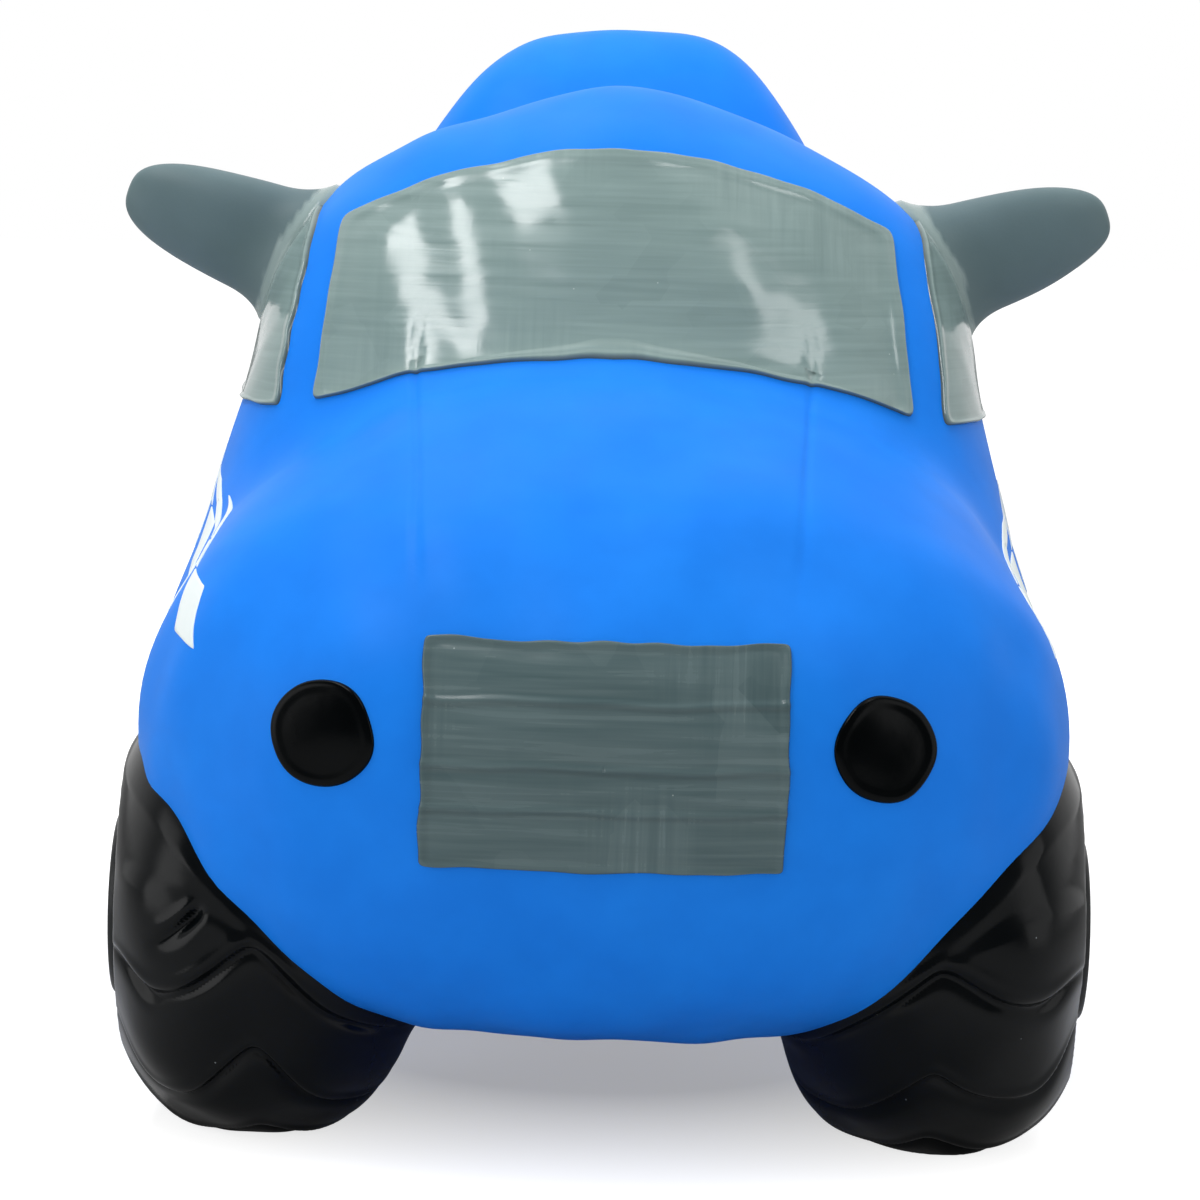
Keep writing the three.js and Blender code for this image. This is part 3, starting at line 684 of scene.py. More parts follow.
@dataclass(frozen=True)
class BrushedEnamel(Finish):
    """Solvent paint brushed on vinyl by hand: glossy, with crossing bristle streaks and a thick edge."""

    dark_edge_and_ridge_shade_colour: str
    stroke_length: float = 60.0
    stroke_sway: float = 0.4
    bristle: float = 2.2
    streak_depth: float = 0.06
    gloss_range: float = 0.1
    crossing: float = 55.0
    crossing_edge: Pair = (0.5, 0.66)
    patch: float = 26.0
    patch_share: float = 0.35
    sag: float = 24.0
    sag_depth: float = 1.3
    dust_spacing: float = 13.0
    dust: float = 0.3
    dust_share: float = 0.6
    dust_colour: str = "#c9d4d2"

    def strokes(self, kit: NodeKit, stretch: Place) -> Socket:
        """Adds noise drawn out along the brush's way.

        Args:
            kit: The material's nodes.
            stretch: The size of a streak along X, Y and Z in millimetres.

        Returns:
            The streaks' value.
        """
        inputs = {"Vector": kit.coordinates["Object"], "Scale": [per_mm(size) for size in stretch]}
        drawn = kit.add("Mapping", inputs).outputs["Vector"]
        inputs = {"Vector": drawn, "Scale": 1.0, "Detail": 3.0, "Distortion": self.stroke_sway}
        return kit.add("TexNoise", inputs).outputs["Fac"]

    def dress(self, kit: NodeKit) -> None:
        """Lays level and upright strokes in patches over each other, with dust, a darker edge and the panel's
        painted crease shade.

        Args:
            kit: The material's nodes.
        """
        level = self.strokes(kit, (self.stroke_length, self.stroke_length, self.bristle))
        upright = self.strokes(kit, (self.bristle, self.stroke_length, self.stroke_length))
        crossed = kit.spread(kit.noise(self.crossing, 2.0), 0.0, 1.0, *self.crossing_edge)
        streaks = kit.blend(crossed, level, upright)
        cells = {"Vector": kit.coordinates["Object"], "Scale": per_mm(self.patch)}
        coats = kit.add("TexVoronoi", cells, distance="CHEBYCHEV").outputs["Color"]
        share = kit.blend(self.patch_share, kit.spread(streaks), coats)
        base = kit.mix(share, self.colour, self.second_colour)
        base = kit.mix(kit.specks(self.dust_spacing, self.dust, self.dust_share), base, self.dust_colour)
        # Darker colour along the outline, and painted shade under the grille's ridges, by the share the panel
        # stored.
        base = kit.mix(kit.painted("dark_edge_and_ridge_shade"), base, self.dark_edge_and_ridge_shade_colour)
        gloss = kit.spread(streaks, self.roughness, self.roughness + self.gloss_range)
        kit.wear(base, gloss, [(streaks, self.streak_depth), (kit.noise(self.sag, 1.0), self.sag_depth)])


@dataclass(frozen=True)
class TyreEnamel(Finish):
    """Gloss black paint over blue vinyl: deep black, bluish where the coat is thin, with dust in it."""

    smear: float = 26.0
    gloss_range: float = 0.16
    thin_colour: str = "#071230"
    thin_roughness: float = 0.4
    dust_spacing: float = 11.0
    dust: float = 0.32
    dust_share: float = 0.7
    dust_colour: str = "#a9b2b5"
    waver: float = 7.0
    waver_depth: float = 0.05

    def dress(self, kit: NodeKit) -> None:
        """Smears the gloss, lets the vinyl through where the coat is thin and adds pale dust.

        Args:
            kit: The material's nodes.
        """
        smears = kit.noise(self.smear, 4.0)
        thin = kit.painted("thin_paint")
        base = kit.mix(thin, self.clouded(kit, smears), self.thin_colour)
        base = kit.mix(kit.specks(self.dust_spacing, self.dust, self.dust_share), base, self.dust_colour)
        gloss = kit.spread(smears, self.roughness, self.roughness + self.gloss_range)
        dull = kit.blend(thin, gloss, self.thin_roughness)
        kit.wear(base, dull, [(kit.noise(self.waver, 2.0), self.waver_depth)])


@dataclass(frozen=True)
class MattVinyl(Finish):
    """Grey PVC with a matt, finely grained skin; brushed window paint runs a little way onto it."""

    cloud: float = 30.0
    grain: float = 0.9
    grain_depth: float = 0.03
    paint_colour: str = "#8b9e9d"
    paint_roughness: float = 0.2

    def dress(self, kit: NodeKit) -> None:
        """Grains the vinyl and glosses its root where the window's paint covers it.

        Args:
            kit: The material's nodes.
        """
        paint = kit.painted("root_paint")
        base = kit.mix(paint, self.clouded(kit, kit.noise(self.cloud, 3.0)), self.paint_colour)
        gloss = kit.spread(paint, self.roughness, self.paint_roughness, 0.0, 1.0)
        kit.wear(base, gloss, [(kit.noise(self.grain, 2.0), self.grain_depth)])


@dataclass(frozen=True)
class WheelEnamel(Finish):
    """Silver paint on vinyl with a black rim: fine metal flake, softer than chrome."""

    silver: float = 0.6
    flake: float = 0.7
    flake_depth: float = 0.015
    gloss_range: float = 0.08
    waver: float = 9.0
    waver_depth: float = 0.08

    def dress(self, kit: NodeKit) -> None:
        """Paints the rim black by the mesh's own share and flakes the silver.

        Args:
            kit: The material's nodes.
        """
        rim = kit.painted("rim_paint")
        flakes = kit.noise(self.flake, 1.0)
        kit.shade({"Metallic": kit.spread(rim, self.silver, 0.0, 0.0, 1.0)})
        base = kit.mix(rim, self.colour, self.second_colour)
        gloss = kit.spread(flakes, self.roughness - self.gloss_range, self.roughness + self.gloss_range)
        kit.wear(base, gloss, [(flakes, self.flake_depth), (kit.noise(self.waver, 2.0), self.waver_depth)])


@dataclass(frozen=True)
class PlainCoat(Finish):
    """A thin even coat, such as a printed transfer or white valve vinyl."""

    cloud: float = 8.0
    gloss_range: float = 0.1
    depth: float = 0.04

    def dress(self, kit: NodeKit) -> None:
        """Clouds the coat faintly and lets its surface waver.

        Args:
            kit: The material's nodes.
        """
        clouds = kit.noise(self.cloud, 3.0)
        gloss = kit.spread(clouds, self.roughness, self.roughness + self.gloss_range)
        kit.wear(self.clouded(kit, clouds), gloss, [(clouds, self.depth)])


BODY_VINYL = SatinVinyl("satin_cast_vinyl", "#1283f8", "#178afc", 0.5, 1.53, 0.14)
WINDOW_ENAMEL = BrushedEnamel("brushed_window_enamel", "#798f8d", "#8ca2a0", 0.1, 1.5, 0.5, "#53615e")
GRILLE_ENAMEL = BrushedEnamel("brushed_grille_enamel", "#4a5f62", "#687b7d", 0.2, 1.5, 0.3, "#2f3d3f",
                              sag_depth=0.7)
TYRE_ENAMEL = TyreEnamel("sprayed_black_tyre_enamel", "#030608", "#080b0d", 0.1, 1.48, 0.2)
LAMP_ENAMEL = TyreEnamel("brushed_black_lamp_enamel", "#010304", "#040607", 0.14, 1.48, 0.12,
                         dust_spacing=8.0)
HANDLE_VINYL = MattVinyl("matt_grey_vinyl", "#5b7175", "#62787c", 0.5, 1.52, 0.4)
WHEEL_ENAMEL = WheelEnamel("silver_wheel_enamel", "#b8bcbe", "#0c1012", 0.36, 1.5, 0.35)
TRANSFER_FILM = PlainCoat("white_printed_transfer", "#ecf7f7", "#f3fbfb", 0.3, 1.49, 0.5)
VALVE_VINYL = PlainCoat("soft_white_valve_vinyl", "#e6e3dc", "#efede7", 0.42, 1.53, 0.5)


def dress_piece(piece: Thing, finish: Finish, nodes: list[str],
                body: str | None = "hopper") -> None:
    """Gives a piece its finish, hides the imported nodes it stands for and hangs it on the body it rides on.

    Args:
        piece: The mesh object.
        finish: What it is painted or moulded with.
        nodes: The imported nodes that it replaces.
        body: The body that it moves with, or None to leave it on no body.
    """
    piece.data.materials.append(finish.make())
    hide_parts(*nodes)
    if body is not None:
        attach(piece, body)
    LOG.info("%s: %d faces in %s", piece.name, len(piece.data.polygons), finish.name)


@dataclass
class BodySkin:
    """The blown blue skin."""

    form: BodyForm
    rings: int = 200
    sides: int = 480
    end_bias: float = 0.6
    crown_zone: Pair = (16.0, 22.0)
    crown_density: float = 2.0
    line_zone: Pair = (58.0, 66.0)
    line_density: float = 5.0
    angle_samples: int = 7200
    valve_pocket: tuple[Pair, ...] = ((13.0, 0.0), (10.5, 0.0), (10.0, 16.0))

    def angles(self) -> Array:
        """Spreads points round a section, closer together over the bonnet's lines, the cab and the hump.

        Returns:
            Angles from the +X side, in radians.
        """
        fine = full_turn(self.angle_samples)
        from_top = np.abs(np.degrees(wrapped(fine - math.pi / 2.0)))
        past_crown = soft_step(from_top, *self.crown_zone)
        lines = past_crown - soft_step(from_top, *self.line_zone)
        count = np.cumsum(1.0 + self.crown_density * (1.0 - past_crown) + self.line_density * lines)
        return np.interp(np.arange(self.sides) * count[-1] / self.sides, count, fine)

    def build(self) -> None:
        """Solves the skin's radius on every ring and makes its mesh."""
        form, angle = self.form, self.angles()
        share = np.linspace(0.0, 1.0, self.rings + 2)[1:-1]
        eased = (1.0 - np.cos(math.pi * share)) / 2.0
        depth = form.length * (share + (eased - share) * self.end_bias)
        middle = np.stack([0.0 * depth, depth + form.nose_y, form.axis_line(depth)], axis=-1)[:, None]
        spoke = np.stack([np.cos(angle), 0.0 * angle, np.sin(angle)], axis=-1)

        def place(radius: Array) -> Array:
            """Points at a radius from the hull's axis."""
            return middle + spoke * radius[..., None]

        none = np.zeros((self.rings, self.sides))
        radius = last_inside(lambda r: form.distance(place(r)) < 0.0, none, none + form.length)
        skin = form.lift(place(radius), 0.0)
        land = node_box("valve_seat")[1][1] - AirValve.flange - AirValve.gap
        skin[..., 1] = np.minimum(skin[..., 1], land)
        # The skin turns in behind the valve's flange and round its sleeve, so that the bore stays open.
        pocket = [[0.0, land - sunk, form.tail_height] + reach * spoke for reach, sunk in self.valve_pocket]
        poles = np.array([[0.0, form.nose_y, form.nose_height],
                          [0.0, land - self.valve_pocket[-1][1], form.tail_height]])
        piece = make_mesh("vinyl_body", np.concatenate([skin, pocket]), poles=poles)
        dress_piece(piece, BODY_VINYL, ["body_shell"])


def drawn_line(corners: list[Pair], steps: int = 40) -> Array:
    """Draws straight edges between corners as many short steps.

    Args:
        corners: The corners in order.
        steps: Steps to an edge.

    Returns:
        Points from the first corner to the last.
    """
    share = np.linspace(0.0, 1.0, steps, endpoint=False)[:, None]
    starts, ends = np.array(corners[:-1])[:, None], np.array(corners[1:])[:, None]
    edges = starts * (1.0 - share) + ends * share
    return np.concatenate([edges.reshape(-1, 2), [corners[-1]]])


def drawn_arch(start: Pair, end: Pair, rise: float, steps: int = 80) -> Array:
    """Draws an edge that bows up in its middle.

    Args:
        start: The first end.
        end: The other end.
        rise: How far it bows.
        steps: How many points to draw.

    Returns:
        Points from start to end.
    """
    share = np.linspace(0.0, 1.0, steps)[:, None]
    level = np.array(start) * (1.0 - share) + np.array(end) * share
    level[:, 1] += (4.0 * rise * share * (1.0 - share))[:, 0]
    return level


def drawn_box(half: float, sill: float, top: float) -> Array:
    """Draws a box about the middle line."""
    return drawn_line([(-half, sill), (half, sill), (half, top), (-half, top), (-half, sill)])[:-1]


def soft_outline(outline: Array, steps: int, softness: float, wobble: float, seed: int) -> Array:
    """Evens out a closed outline, rounds its corners and lets it waver as a brush does.

    Args:
        outline: Points round the outline.
        steps: How many points to return.
        softness: The corners' rounding in millimetres.
        wobble: How far the edge wavers, in millimetres.
        seed: The seed of the wavering.

    Returns:
        Evenly spaced points.
    """
    closed = np.concatenate([outline, outline[:1]])
    lengths = np.concatenate([[0.0], np.cumsum(np.linalg.norm(np.diff(closed, axis=0), axis=1))])
    girth = lengths[-1]
    at = np.arange(steps) * girth / steps
    even = np.stack([np.interp(at, lengths, closed[:, i]) for i in (0, 1)], axis=-1)
    waves = math.tau * np.fft.fftfreq(steps, girth / steps)
    kept = np.exp(-((waves * softness) ** 2) / 2.0)[:, None]
    even = np.fft.ifft(np.fft.fft(even, axis=0) * kept, axis=0).real
    draw = np.random.default_rng(seed)
    total = np.zeros(steps)
    longest, shortest = 110.0, 14.0
    for turns in range(max(2, int(girth / longest)), int(girth / shortest)):
        size = draw.normal() / math.sqrt(turns)
        total += size * np.cos(math.tau * turns * at / girth + draw.uniform(0.0, math.tau))
    total *= wobble / max(float(np.abs(total).max()), TINY)
    tangent = np.roll(even, -1, axis=0) - np.roll(even, 1, axis=0)
    outward = np.stack([tangent[:, 1], -tangent[:, 0]], axis=-1)
    return even + outward / np.linalg.norm(outward, axis=1, keepdims=True) * total[:, None]


Relief = Callable[[Array, Array, Array], Array]


def nothing(across: Array, up: Array, from_edge: Array) -> Array:
    """No relief and no shade anywhere on a panel."""
    return np.zeros(from_edge.shape)


def moulded_line(inset: float, width: float, rise: float) -> Relief:
    """Gives the relief of a raised line that runs a little inside a panel's edge."""
    return lambda across, up, from_edge: rise * bell(from_edge - inset, width)


@dataclass
class PaintedPanel:
    """A coat of paint inside an outline, with the thick rounded edge that a brush leaves.

    Relief and the painted shade in creases are asked for places across, heights and distances from the edge.
    """

    form: BodyForm
    name: str
    view: View
    outline: Array
    thickness: float = 0.8
    bead: float = 0.65
    dark_edge_band: Pair = (0.2, 0.8)
    softness: float = 2.2
    wobble: float = 0.5
    seed: int = 1
    steps: int = 420
    inner_rings: int = 34
    edge_rings: tuple[float, ...] = (0.0, 0.2, 0.5, 0.9, 1.4, 2.0, 2.7, 3.5, 4.5, 6.0)
    bead_run: tuple[float, ...] = (0.0, 0.3, 0.8, 1.6, 3.4)
    edge_height: float = -0.5
    backing: float = -1.2
    relief: Relief = nothing
    creases: Relief = nothing

    def build(self) -> Thing:
        """Lays the paint on the skin and makes its closed mesh.

        Returns:
            The panel's object, not yet dressed.
        """
        edge = soft_outline(self.outline, self.steps, self.softness, self.wobble, self.seed)
        centre = edge.mean(axis=0)
        spoke = edge - centre
        reach = np.linalg.norm(spoke, axis=1)
        insets = np.array(self.edge_rings)[:, None] * np.ones(self.steps)
        inward = np.linspace(0.0, 1.0, self.inner_rings + 1)[1:-1, None]
        insets = np.concatenate([insets, insets[-1] + (reach - insets[-1]) * inward])
        places = centre + spoke * (1.0 - insets / reach)[..., None]
        spot = places[..., 0], places[..., 1]
        skin = self.form.seen_from(self.view, *spot)
        crest = self.thickness + self.bead
        heights = [self.edge_height, 0.45 * crest, crest, crest, self.thickness]
        coat = np.interp(insets, self.bead_run, heights) + self.relief(*spot, insets)
        top, under = self.form.lift(skin, coat), self.form.lift(skin, self.backing)
        # Share of a darker colour: darker along the outline, and painted shade in creases such as under the
        # grille's ridges.
        shade = np.maximum(soft_drop(insets, *self.dark_edge_band), self.creases(*spot, insets))
        shares = {"dark_edge_and_ridge_shade": np.concatenate([shade[::-1], shade])}
        return make_mesh(f"{self.name}_paint", np.concatenate([top[::-1], under]), shares)

    def paint(self, finish: Finish, slot: str) -> None:
        """Lays the paint and dresses it, standing for the node of the same name."""
        dress_piece(self.build(), finish, [self.name])


@dataclass
class Glazing:
    """The painted windscreen, side windows and rear window."""

    form: BodyForm
    foot_half: float = 98.0
    head_half: float = 91.0
    foot: float = 229.0
    foot_arch: float = 17.0
    head: float = 287.0
    head_arch: float = 25.0
    pillar: float = 10.0
    side_rear: float = 292.0
    side_rake: float = 20.0
    side_sill: float = 226.0
    side_top: float = 292.0
    rear_half: float = 46.0
    rear_drop: float = 21.0
    rear_height: float = 40.0
    screen_frame: Relief = moulded_line(inset=3.6, width=1.1, rise=0.6)

    def windscreen(self) -> None:
        """Paints the arched windscreen."""
        foot_left, foot_right = (-self.foot_half, self.foot), (self.foot_half, self.foot)
        head_left, head_right = (-self.head_half, self.head), (self.head_half, self.head)
        outline = np.concatenate([
            drawn_arch(foot_left, foot_right, self.foot_arch),
            drawn_line([foot_right, head_right])[1:-1],
            drawn_arch(head_right, head_left, self.head_arch),
            drawn_line([head_left, foot_left])[1:-1],
        ])
        panel = PaintedPanel(self.form, "windscreen", View.FRONT, outline, seed=21, steps=520, inner_rings=50,
                             relief=self.screen_frame)
        panel.paint(WINDOW_ENAMEL, "window_paint")

    def side_window(self, side: Side) -> None:
        """Paints one side window, whose front edge keeps a pillar's width from the windscreen.

        Args:
            side: Which side of the toy.
        """
        lean = (self.head_half - self.foot_half) / (self.head - self.foot)
        heights = np.linspace(self.side_sill, self.side_top, 40)
        from_middle = self.foot_half + self.pillar + lean * (heights - self.foot)
        front = self.form.seen_from(View.FRONT, from_middle, heights)[:, 1]
        rear_foot = self.form.nose_y + self.side_rear
        foot, head = (rear_foot, self.side_sill), (rear_foot - self.side_rake, self.side_top)
        outline = np.concatenate([
            np.stack([front, heights], axis=-1)[::-1],
            drawn_line([(front[0], self.side_sill), foot])[1:-1],
            drawn_line([foot, head]),
            drawn_line([head, (front[-1], self.side_top)])[1:-1],
        ])
        panel = PaintedPanel(self.form, f"{side.word}_side_window", side.view, outline, seed=24 + side.value)
        panel.paint(WINDOW_ENAMEL, "window_paint")

    def rear_window(self) -> None:
        """Paints the window on the back of the hump."""
        top = self.form.hump_height - self.rear_drop
        outline = drawn_box(self.rear_half, top - self.rear_height, top)
        panel = PaintedPanel(self.form, "rear_window", View.BACK, outline, softness=3.5, seed=27)
        panel.paint(WINDOW_ENAMEL, "window_paint")

    def build(self) -> None:
        """Paints all the windows."""
        self.windscreen()
        for side in Side:
            self.side_window(side)
        self.rear_window()


@dataclass
class Face:
    """The painted grille and the four lamps."""

    form: BodyForm
    grille_half: float = 54.0
    grille_sill: float = 103.0
    grille_top: float = 170.0
    ridge_shares: tuple[float, ...] = (0.27, 0.46, 0.74)
    ridge_rise: float = 0.8
    ridge_width: float = 1.0
    ridge_shade: float = 0.25
    row_crown: float = 0.3
    row_round: float = 8.0
    row_ends: Pair = (2.0, 9.0)
    headlamp: Place = (83.0, 140.0, 16.0)
    tail_lamp: Place = (86.0, 152.0, 14.0)
    lamp_rim: Relief = moulded_line(inset=2.4, width=0.9, rise=0.22)

    def above_ridge(self, across: Array, up: Array) -> Array:
        """Gives how far places lie above the nearest of the wavering ridges between rows.

        Args:
            across: Places across the grille.
            up: Heights.

        Returns:
            Millimetres, below zero under a ridge.
        """
        height = self.grille_top - self.grille_sill
        slow, quick = 0.35 * np.sin(across / 11.0), 0.2 * np.sin(across / 5.3 + up / 9.0)
        share = (up + slow + quick - self.grille_sill) / height
        apart = np.stack([share - ridge for ridge in self.ridge_shares])
        return np.take_along_axis(apart, np.argmin(np.abs(apart), axis=0)[None], axis=0)[0] * height

    def ridges(self, across: Array, up: Array, from_edge: Array) -> Array:
        """The grille's moulded rows: each is slightly crowned, with a sharp ridge between rows."""
        above = self.above_ridge(across, up)
        crown = soft_step(np.abs(above), 0.0, self.row_round) * soft_step(from_edge, *self.row_ends)
        return self.ridge_rise * bell(above, self.ridge_width) + self.row_crown * crown

    def painted_ridge_shade(self, across: Array, up: Array, from_edge: Array) -> Array:
        """Painted shade: a darker band just under each ridge, where shade falls."""
        below = self.above_ridge(across, up) + 1.3 * self.ridge_width
        return self.ridge_shade * bell(below, 0.7 * self.ridge_width)

    def grille(self) -> None:
        """Paints the grille."""
        outline = drawn_box(self.grille_half, self.grille_sill, self.grille_top)
        # The grille's crease share paints shade under its ridges.
        panel = PaintedPanel(self.form, "grille", View.FRONT, outline, bead=0.8, softness=1.3, wobble=0.55,
                             seed=31, steps=480, inner_rings=84, relief=self.ridges, creases=self.painted_ridge_shade)
        panel.paint(GRILLE_ENAMEL, "grille_paint")

    def lamp(self, name: str, view: View, spot: Place, side: Side, seed: int) -> None:
        """Paints one round lamp.

        Args:
            name: The node that it stands for.
            view: Which end of the toy it is on.
            spot: How far aside it is, its height and its radius.
            side: Which side of the toy it is on.
            seed: The seed of its edge.
        """
        aside, height, radius = spot
        turn = full_turn(240)
        middle = np.array([side.value * aside, height])
        outline = middle + radius * np.stack([np.cos(turn), np.sin(turn)], axis=-1)
        panel = PaintedPanel(self.form, name, view, outline, bead=0.15, wobble=0.45, seed=seed + side.value,
                             steps=220, inner_rings=16, relief=self.lamp_rim)
        panel.paint(LAMP_ENAMEL, "lamp_paint")

    def build(self) -> None:
        """Paints the grille and the lamps of both ends."""
        self.grille()
        for side in Side:
            self.lamp(f"{side.word}_headlamp", View.FRONT, self.headlamp, side, 40)
            self.lamp(f"{side.word}_tail_lamp", View.BACK, self.tail_lamp, side, 44)


@dataclass
class CheckerBand:
    """White cells of a racing checker, printed along a flank in rows that lean back and climb."""

    form: BodyForm
    side: Side
    front: float
    cell_length: float = 19.0
    row_heights: Pair = (17.0, 15.0)
    row_leans: Pair = (1.0, 2.8)
    climb: float = 0.17
    columns: int = 9
    sill: float = 159.0

    def corner(self, row: int, column: int) -> Pair:
        """Gives a grid point of the band.

        Args:
            row: How many rows it lies above the sill.
            column: How many columns it lies behind the front.

        Returns:
            Its places along Y and up.
        """
        along = column * self.cell_length
        up = self.sill + self.climb * along + sum(self.row_heights[:row])
        back = sum(h * lean for h, lean in zip(self.row_heights[:row], self.row_leans))
        return self.form.nose_y + self.front + along + back, up

    def cell(self, row: int, column: int) -> Thing:
        """Lays one white cell on the flank.

        Args:
            row: Its row, from below.
            column: Its column, from the front.

        Returns:
            The cell's object.
        """
        steps = [(0, 0), (0, 1), (1, 1), (1, 0), (0, 0)]
        outline = drawn_line([self.corner(row + r, column + c) for r, c in steps], 12)[:-1]
        panel = PaintedPanel(self.form, f"cell_{row}_{column}", self.side.view, outline, thickness=0.35,
                             bead=0.0, softness=0.35, wobble=0.15, seed=60 + 2 * column + row, steps=96,
                             inner_rings=9, edge_rings=(0.0, 0.2, 0.5, 1.0, 2.0), backing=-0.9)
        return panel.build()

    def build(self) -> None:
        """Lays every other cell and joins them into one transfer."""
        grid = [(row, column) for column in range(self.columns) for row in range(len(self.row_heights))]
        cells = [self.cell(row, column) for row, column in grid if (row + column) % 2 == 0]
        band = join_pieces(cells, f"{self.side.word}_checker_transfer")
        dress_piece(band, TRANSFER_FILM, [f"{self.side.word}_checker_band"])


@dataclass
class Wheel:
    """A bulging tyre that flows into the body, and the disc on its outer face."""

    form: BodyForm
    end: str
    side: Side
    seed: int
    arm_drop: float
    radius: float = 72.0
    outer_half: float = 52.0
    inner_half: float = 50.5
    face_inset: float = 46.0
    outer_squareness: float = 2.6
    inner_squareness: float = 2.35
    fillet: float = 12.0
    flare: float = 3.0
    sunk: float = 0.5
    search_reach: float = 120.0
    tread_count: int = 12
    tread_reach: float = 0.93
    tread_fade: float = 0.31
    tread_middle: float = 0.05
    groove_depth: float = 3.6
    groove_width: float = 1.9
    lip_rise: float = 0.9
    lip_place: float = 2.4
    lip_width: float = 1.3
    apex_round: float = 0.06
    arm_bend: float = 2.2
    arm_curl: Pair = (0.6, 1.0)
    inner_arm_drop: float = 54.0
    wander: Pair = (60.0, 2.2)
    wear: Pair = (34.0, 0.35)
    wear_middle: float = 0.85
    wear_limits: Pair = (0.25, 1.3)
    lumps: Pair = (42.0, 1.2)
    seam_width: float = 5.0
    seam_slant: float = 0.3
    thin_coat: float = 0.75
    thin_inside: Pair = (14.0, 46.0)
    thin_below: Pair = (25.0, 75.0)
    around: int = 480
    across: int = 200
    disc_radius: float = 30.0
    disc_thickness: float = 2.2
    disc_edge: float = 2.0
    disc_sunk: float = 0.4
    rim_width: float = 4.0
    rim_rise: float = 1.3
    hub_radius: float = 12.5
    hub_rise: float = 2.4
    dimples: int = 5
    dimple_depth: float = 0.8
    dimple_width: float = 4.0

    def __post_init__(self) -> None:
        """Finds the tyre's middle and outer face from its solids."""
        self.name = f"{self.end}_{self.side.word}"
        self.out = self.side.value
        low, high = node_box(f"{self.name}_tyre")
        self.face = float(high[0]) if self.out > 0 else -float(low[0])
        axle = sum(node_box(f"{self.name}_wheel_disc")) / 2.0
        self.middle = np.array([self.out * (self.face - self.face_inset), axle[1], axle[2]])

    def barrel(self, points: Array) -> Array:
        """Gives the tyre's own field, rounder on its outer half.

        Args:
            points: Places in millimetres.

        Returns:
            Values below zero inside.
        """
        away = points - self.middle
        outward = away[..., 0] * self.out
        spoke = np.hypot(away[..., 1], away[..., 2]) / self.radius
        outer = super_norm(spoke, outward / self.outer_half, self.outer_squareness)
        inner = super_norm(spoke, outward / self.inner_half, self.inner_squareness)
        return (np.where(outward > 0.0, outer, inner) - 1.0) * self.radius

    def tread(self, points: Array) -> Array:
        """Gives the depth of the moulded chevron grooves.

        Args:
            points: Places on the tyre.

        Returns:
            Heights in millimetres, below zero in a groove.
        """
        away = points - self.middle
        turn = np.arctan2(away[..., 2], -away[..., 1])
        share = away[..., 0] * self.out / self.outer_half
        bent = np.hypot(share, self.apex_round) - self.apex_round
        outer_arm = self.arm_drop * (np.tanh(self.arm_bend * bent) - 0.5 * soft_step(share, *self.arm_curl))
        droop = np.where(share > 0.0, outer_arm, self.inner_arm_drop * bent)
        wander = Ripple(*self.wander, self.seed).at(points)
        width = self.groove_width
        total = np.zeros(turn.shape)
        for number in range(self.tread_count):
            apex = math.tau * number / self.tread_count - math.pi
            below, above = soft_step(-apex, 0.1, 0.6), soft_step(apex, 0.0, 0.5)
            off = wrapped(turn - apex) * self.radius + droop * (1.0 + 0.5 * below + above) + wander
            groove = np.exp(-(np.abs(off / np.where(off > 0.0, width, 2.0 * width)) ** 1.5))
            lip = bell(off - self.lip_place * width, self.lip_width * width)
            reach = self.tread_reach - 0.3 * above
            fade = soft_drop(np.abs(share - self.tread_middle), reach - self.tread_fade, reach)
            total += fade * (self.lip_rise * lip - self.groove_depth * groove)
        worn = self.wear_middle + Ripple(*self.wear, self.seed + 1).at(points)
        return np.clip(worn, *self.wear_limits) * total

    def tyre(self) -> None:
        """Solves the tyre's surface along rays from its middle and cuts the tread."""
        lean = np.linspace(0.0, math.pi, self.across + 2)[1:-1, None]
        turn = full_turn(self.around)[None, :]
        rays = np.stack([
            self.out * np.cos(lean) * np.ones_like(turn),
            -np.sin(lean) * np.cos(turn),
            np.sin(lean) * np.sin(turn),
        ], axis=-1)

        def place(reach: Array) -> Array:
            """Points along the rays."""
            return self.middle + rays * reach[..., None]

        def joined(reach: Array) -> Array:
            """Whether a place along the rays is inside the tyre and its fillet to the body."""
            points = place(reach)
            body = self.form.distance(points) + self.sunk
            return filleted_union(self.barrel(points), body, self.fillet) < 0.0

        none = np.zeros(rays.shape[:-1])
        own = last_inside(lambda r: self.barrel(place(r)) < 0.0, none, none + self.search_reach)
        points = place(last_inside(joined, own, own + self.flare))
        above_axle = np.maximum(points[..., 2] - self.middle[2], 0.0)
        from_body = self.form.distance(points) - self.seam_slant * above_axle
        relief = self.tread(points) + Ripple(*self.lumps, self.seed + 2).at(points)
        depth = relief * soft_step(from_body, 0.0, self.seam_width)
        points = points + rays * depth[..., None]
        points[..., 0] = self.out * np.minimum(points[..., 0] * self.out, self.face)
        points[..., 2] = np.maximum(points[..., 2], 0.0)
        inner = (self.middle[0] - points[..., 0]) * self.out
        thin = soft_step(inner, *self.thin_inside) * soft_drop(points[..., 2], *self.thin_below)
        poles = np.array([[self.out * self.face, *self.middle[1:]],
                          [self.middle[0] - self.out * self.inner_half, *self.middle[1:]]])
        piece = make_mesh(f"{self.name}_tyre_bulge", points, {"thin_paint": self.thin_coat * thin}, poles)
        dress_piece(piece, TYRE_ENAMEL, [f"{self.name}_tyre"])

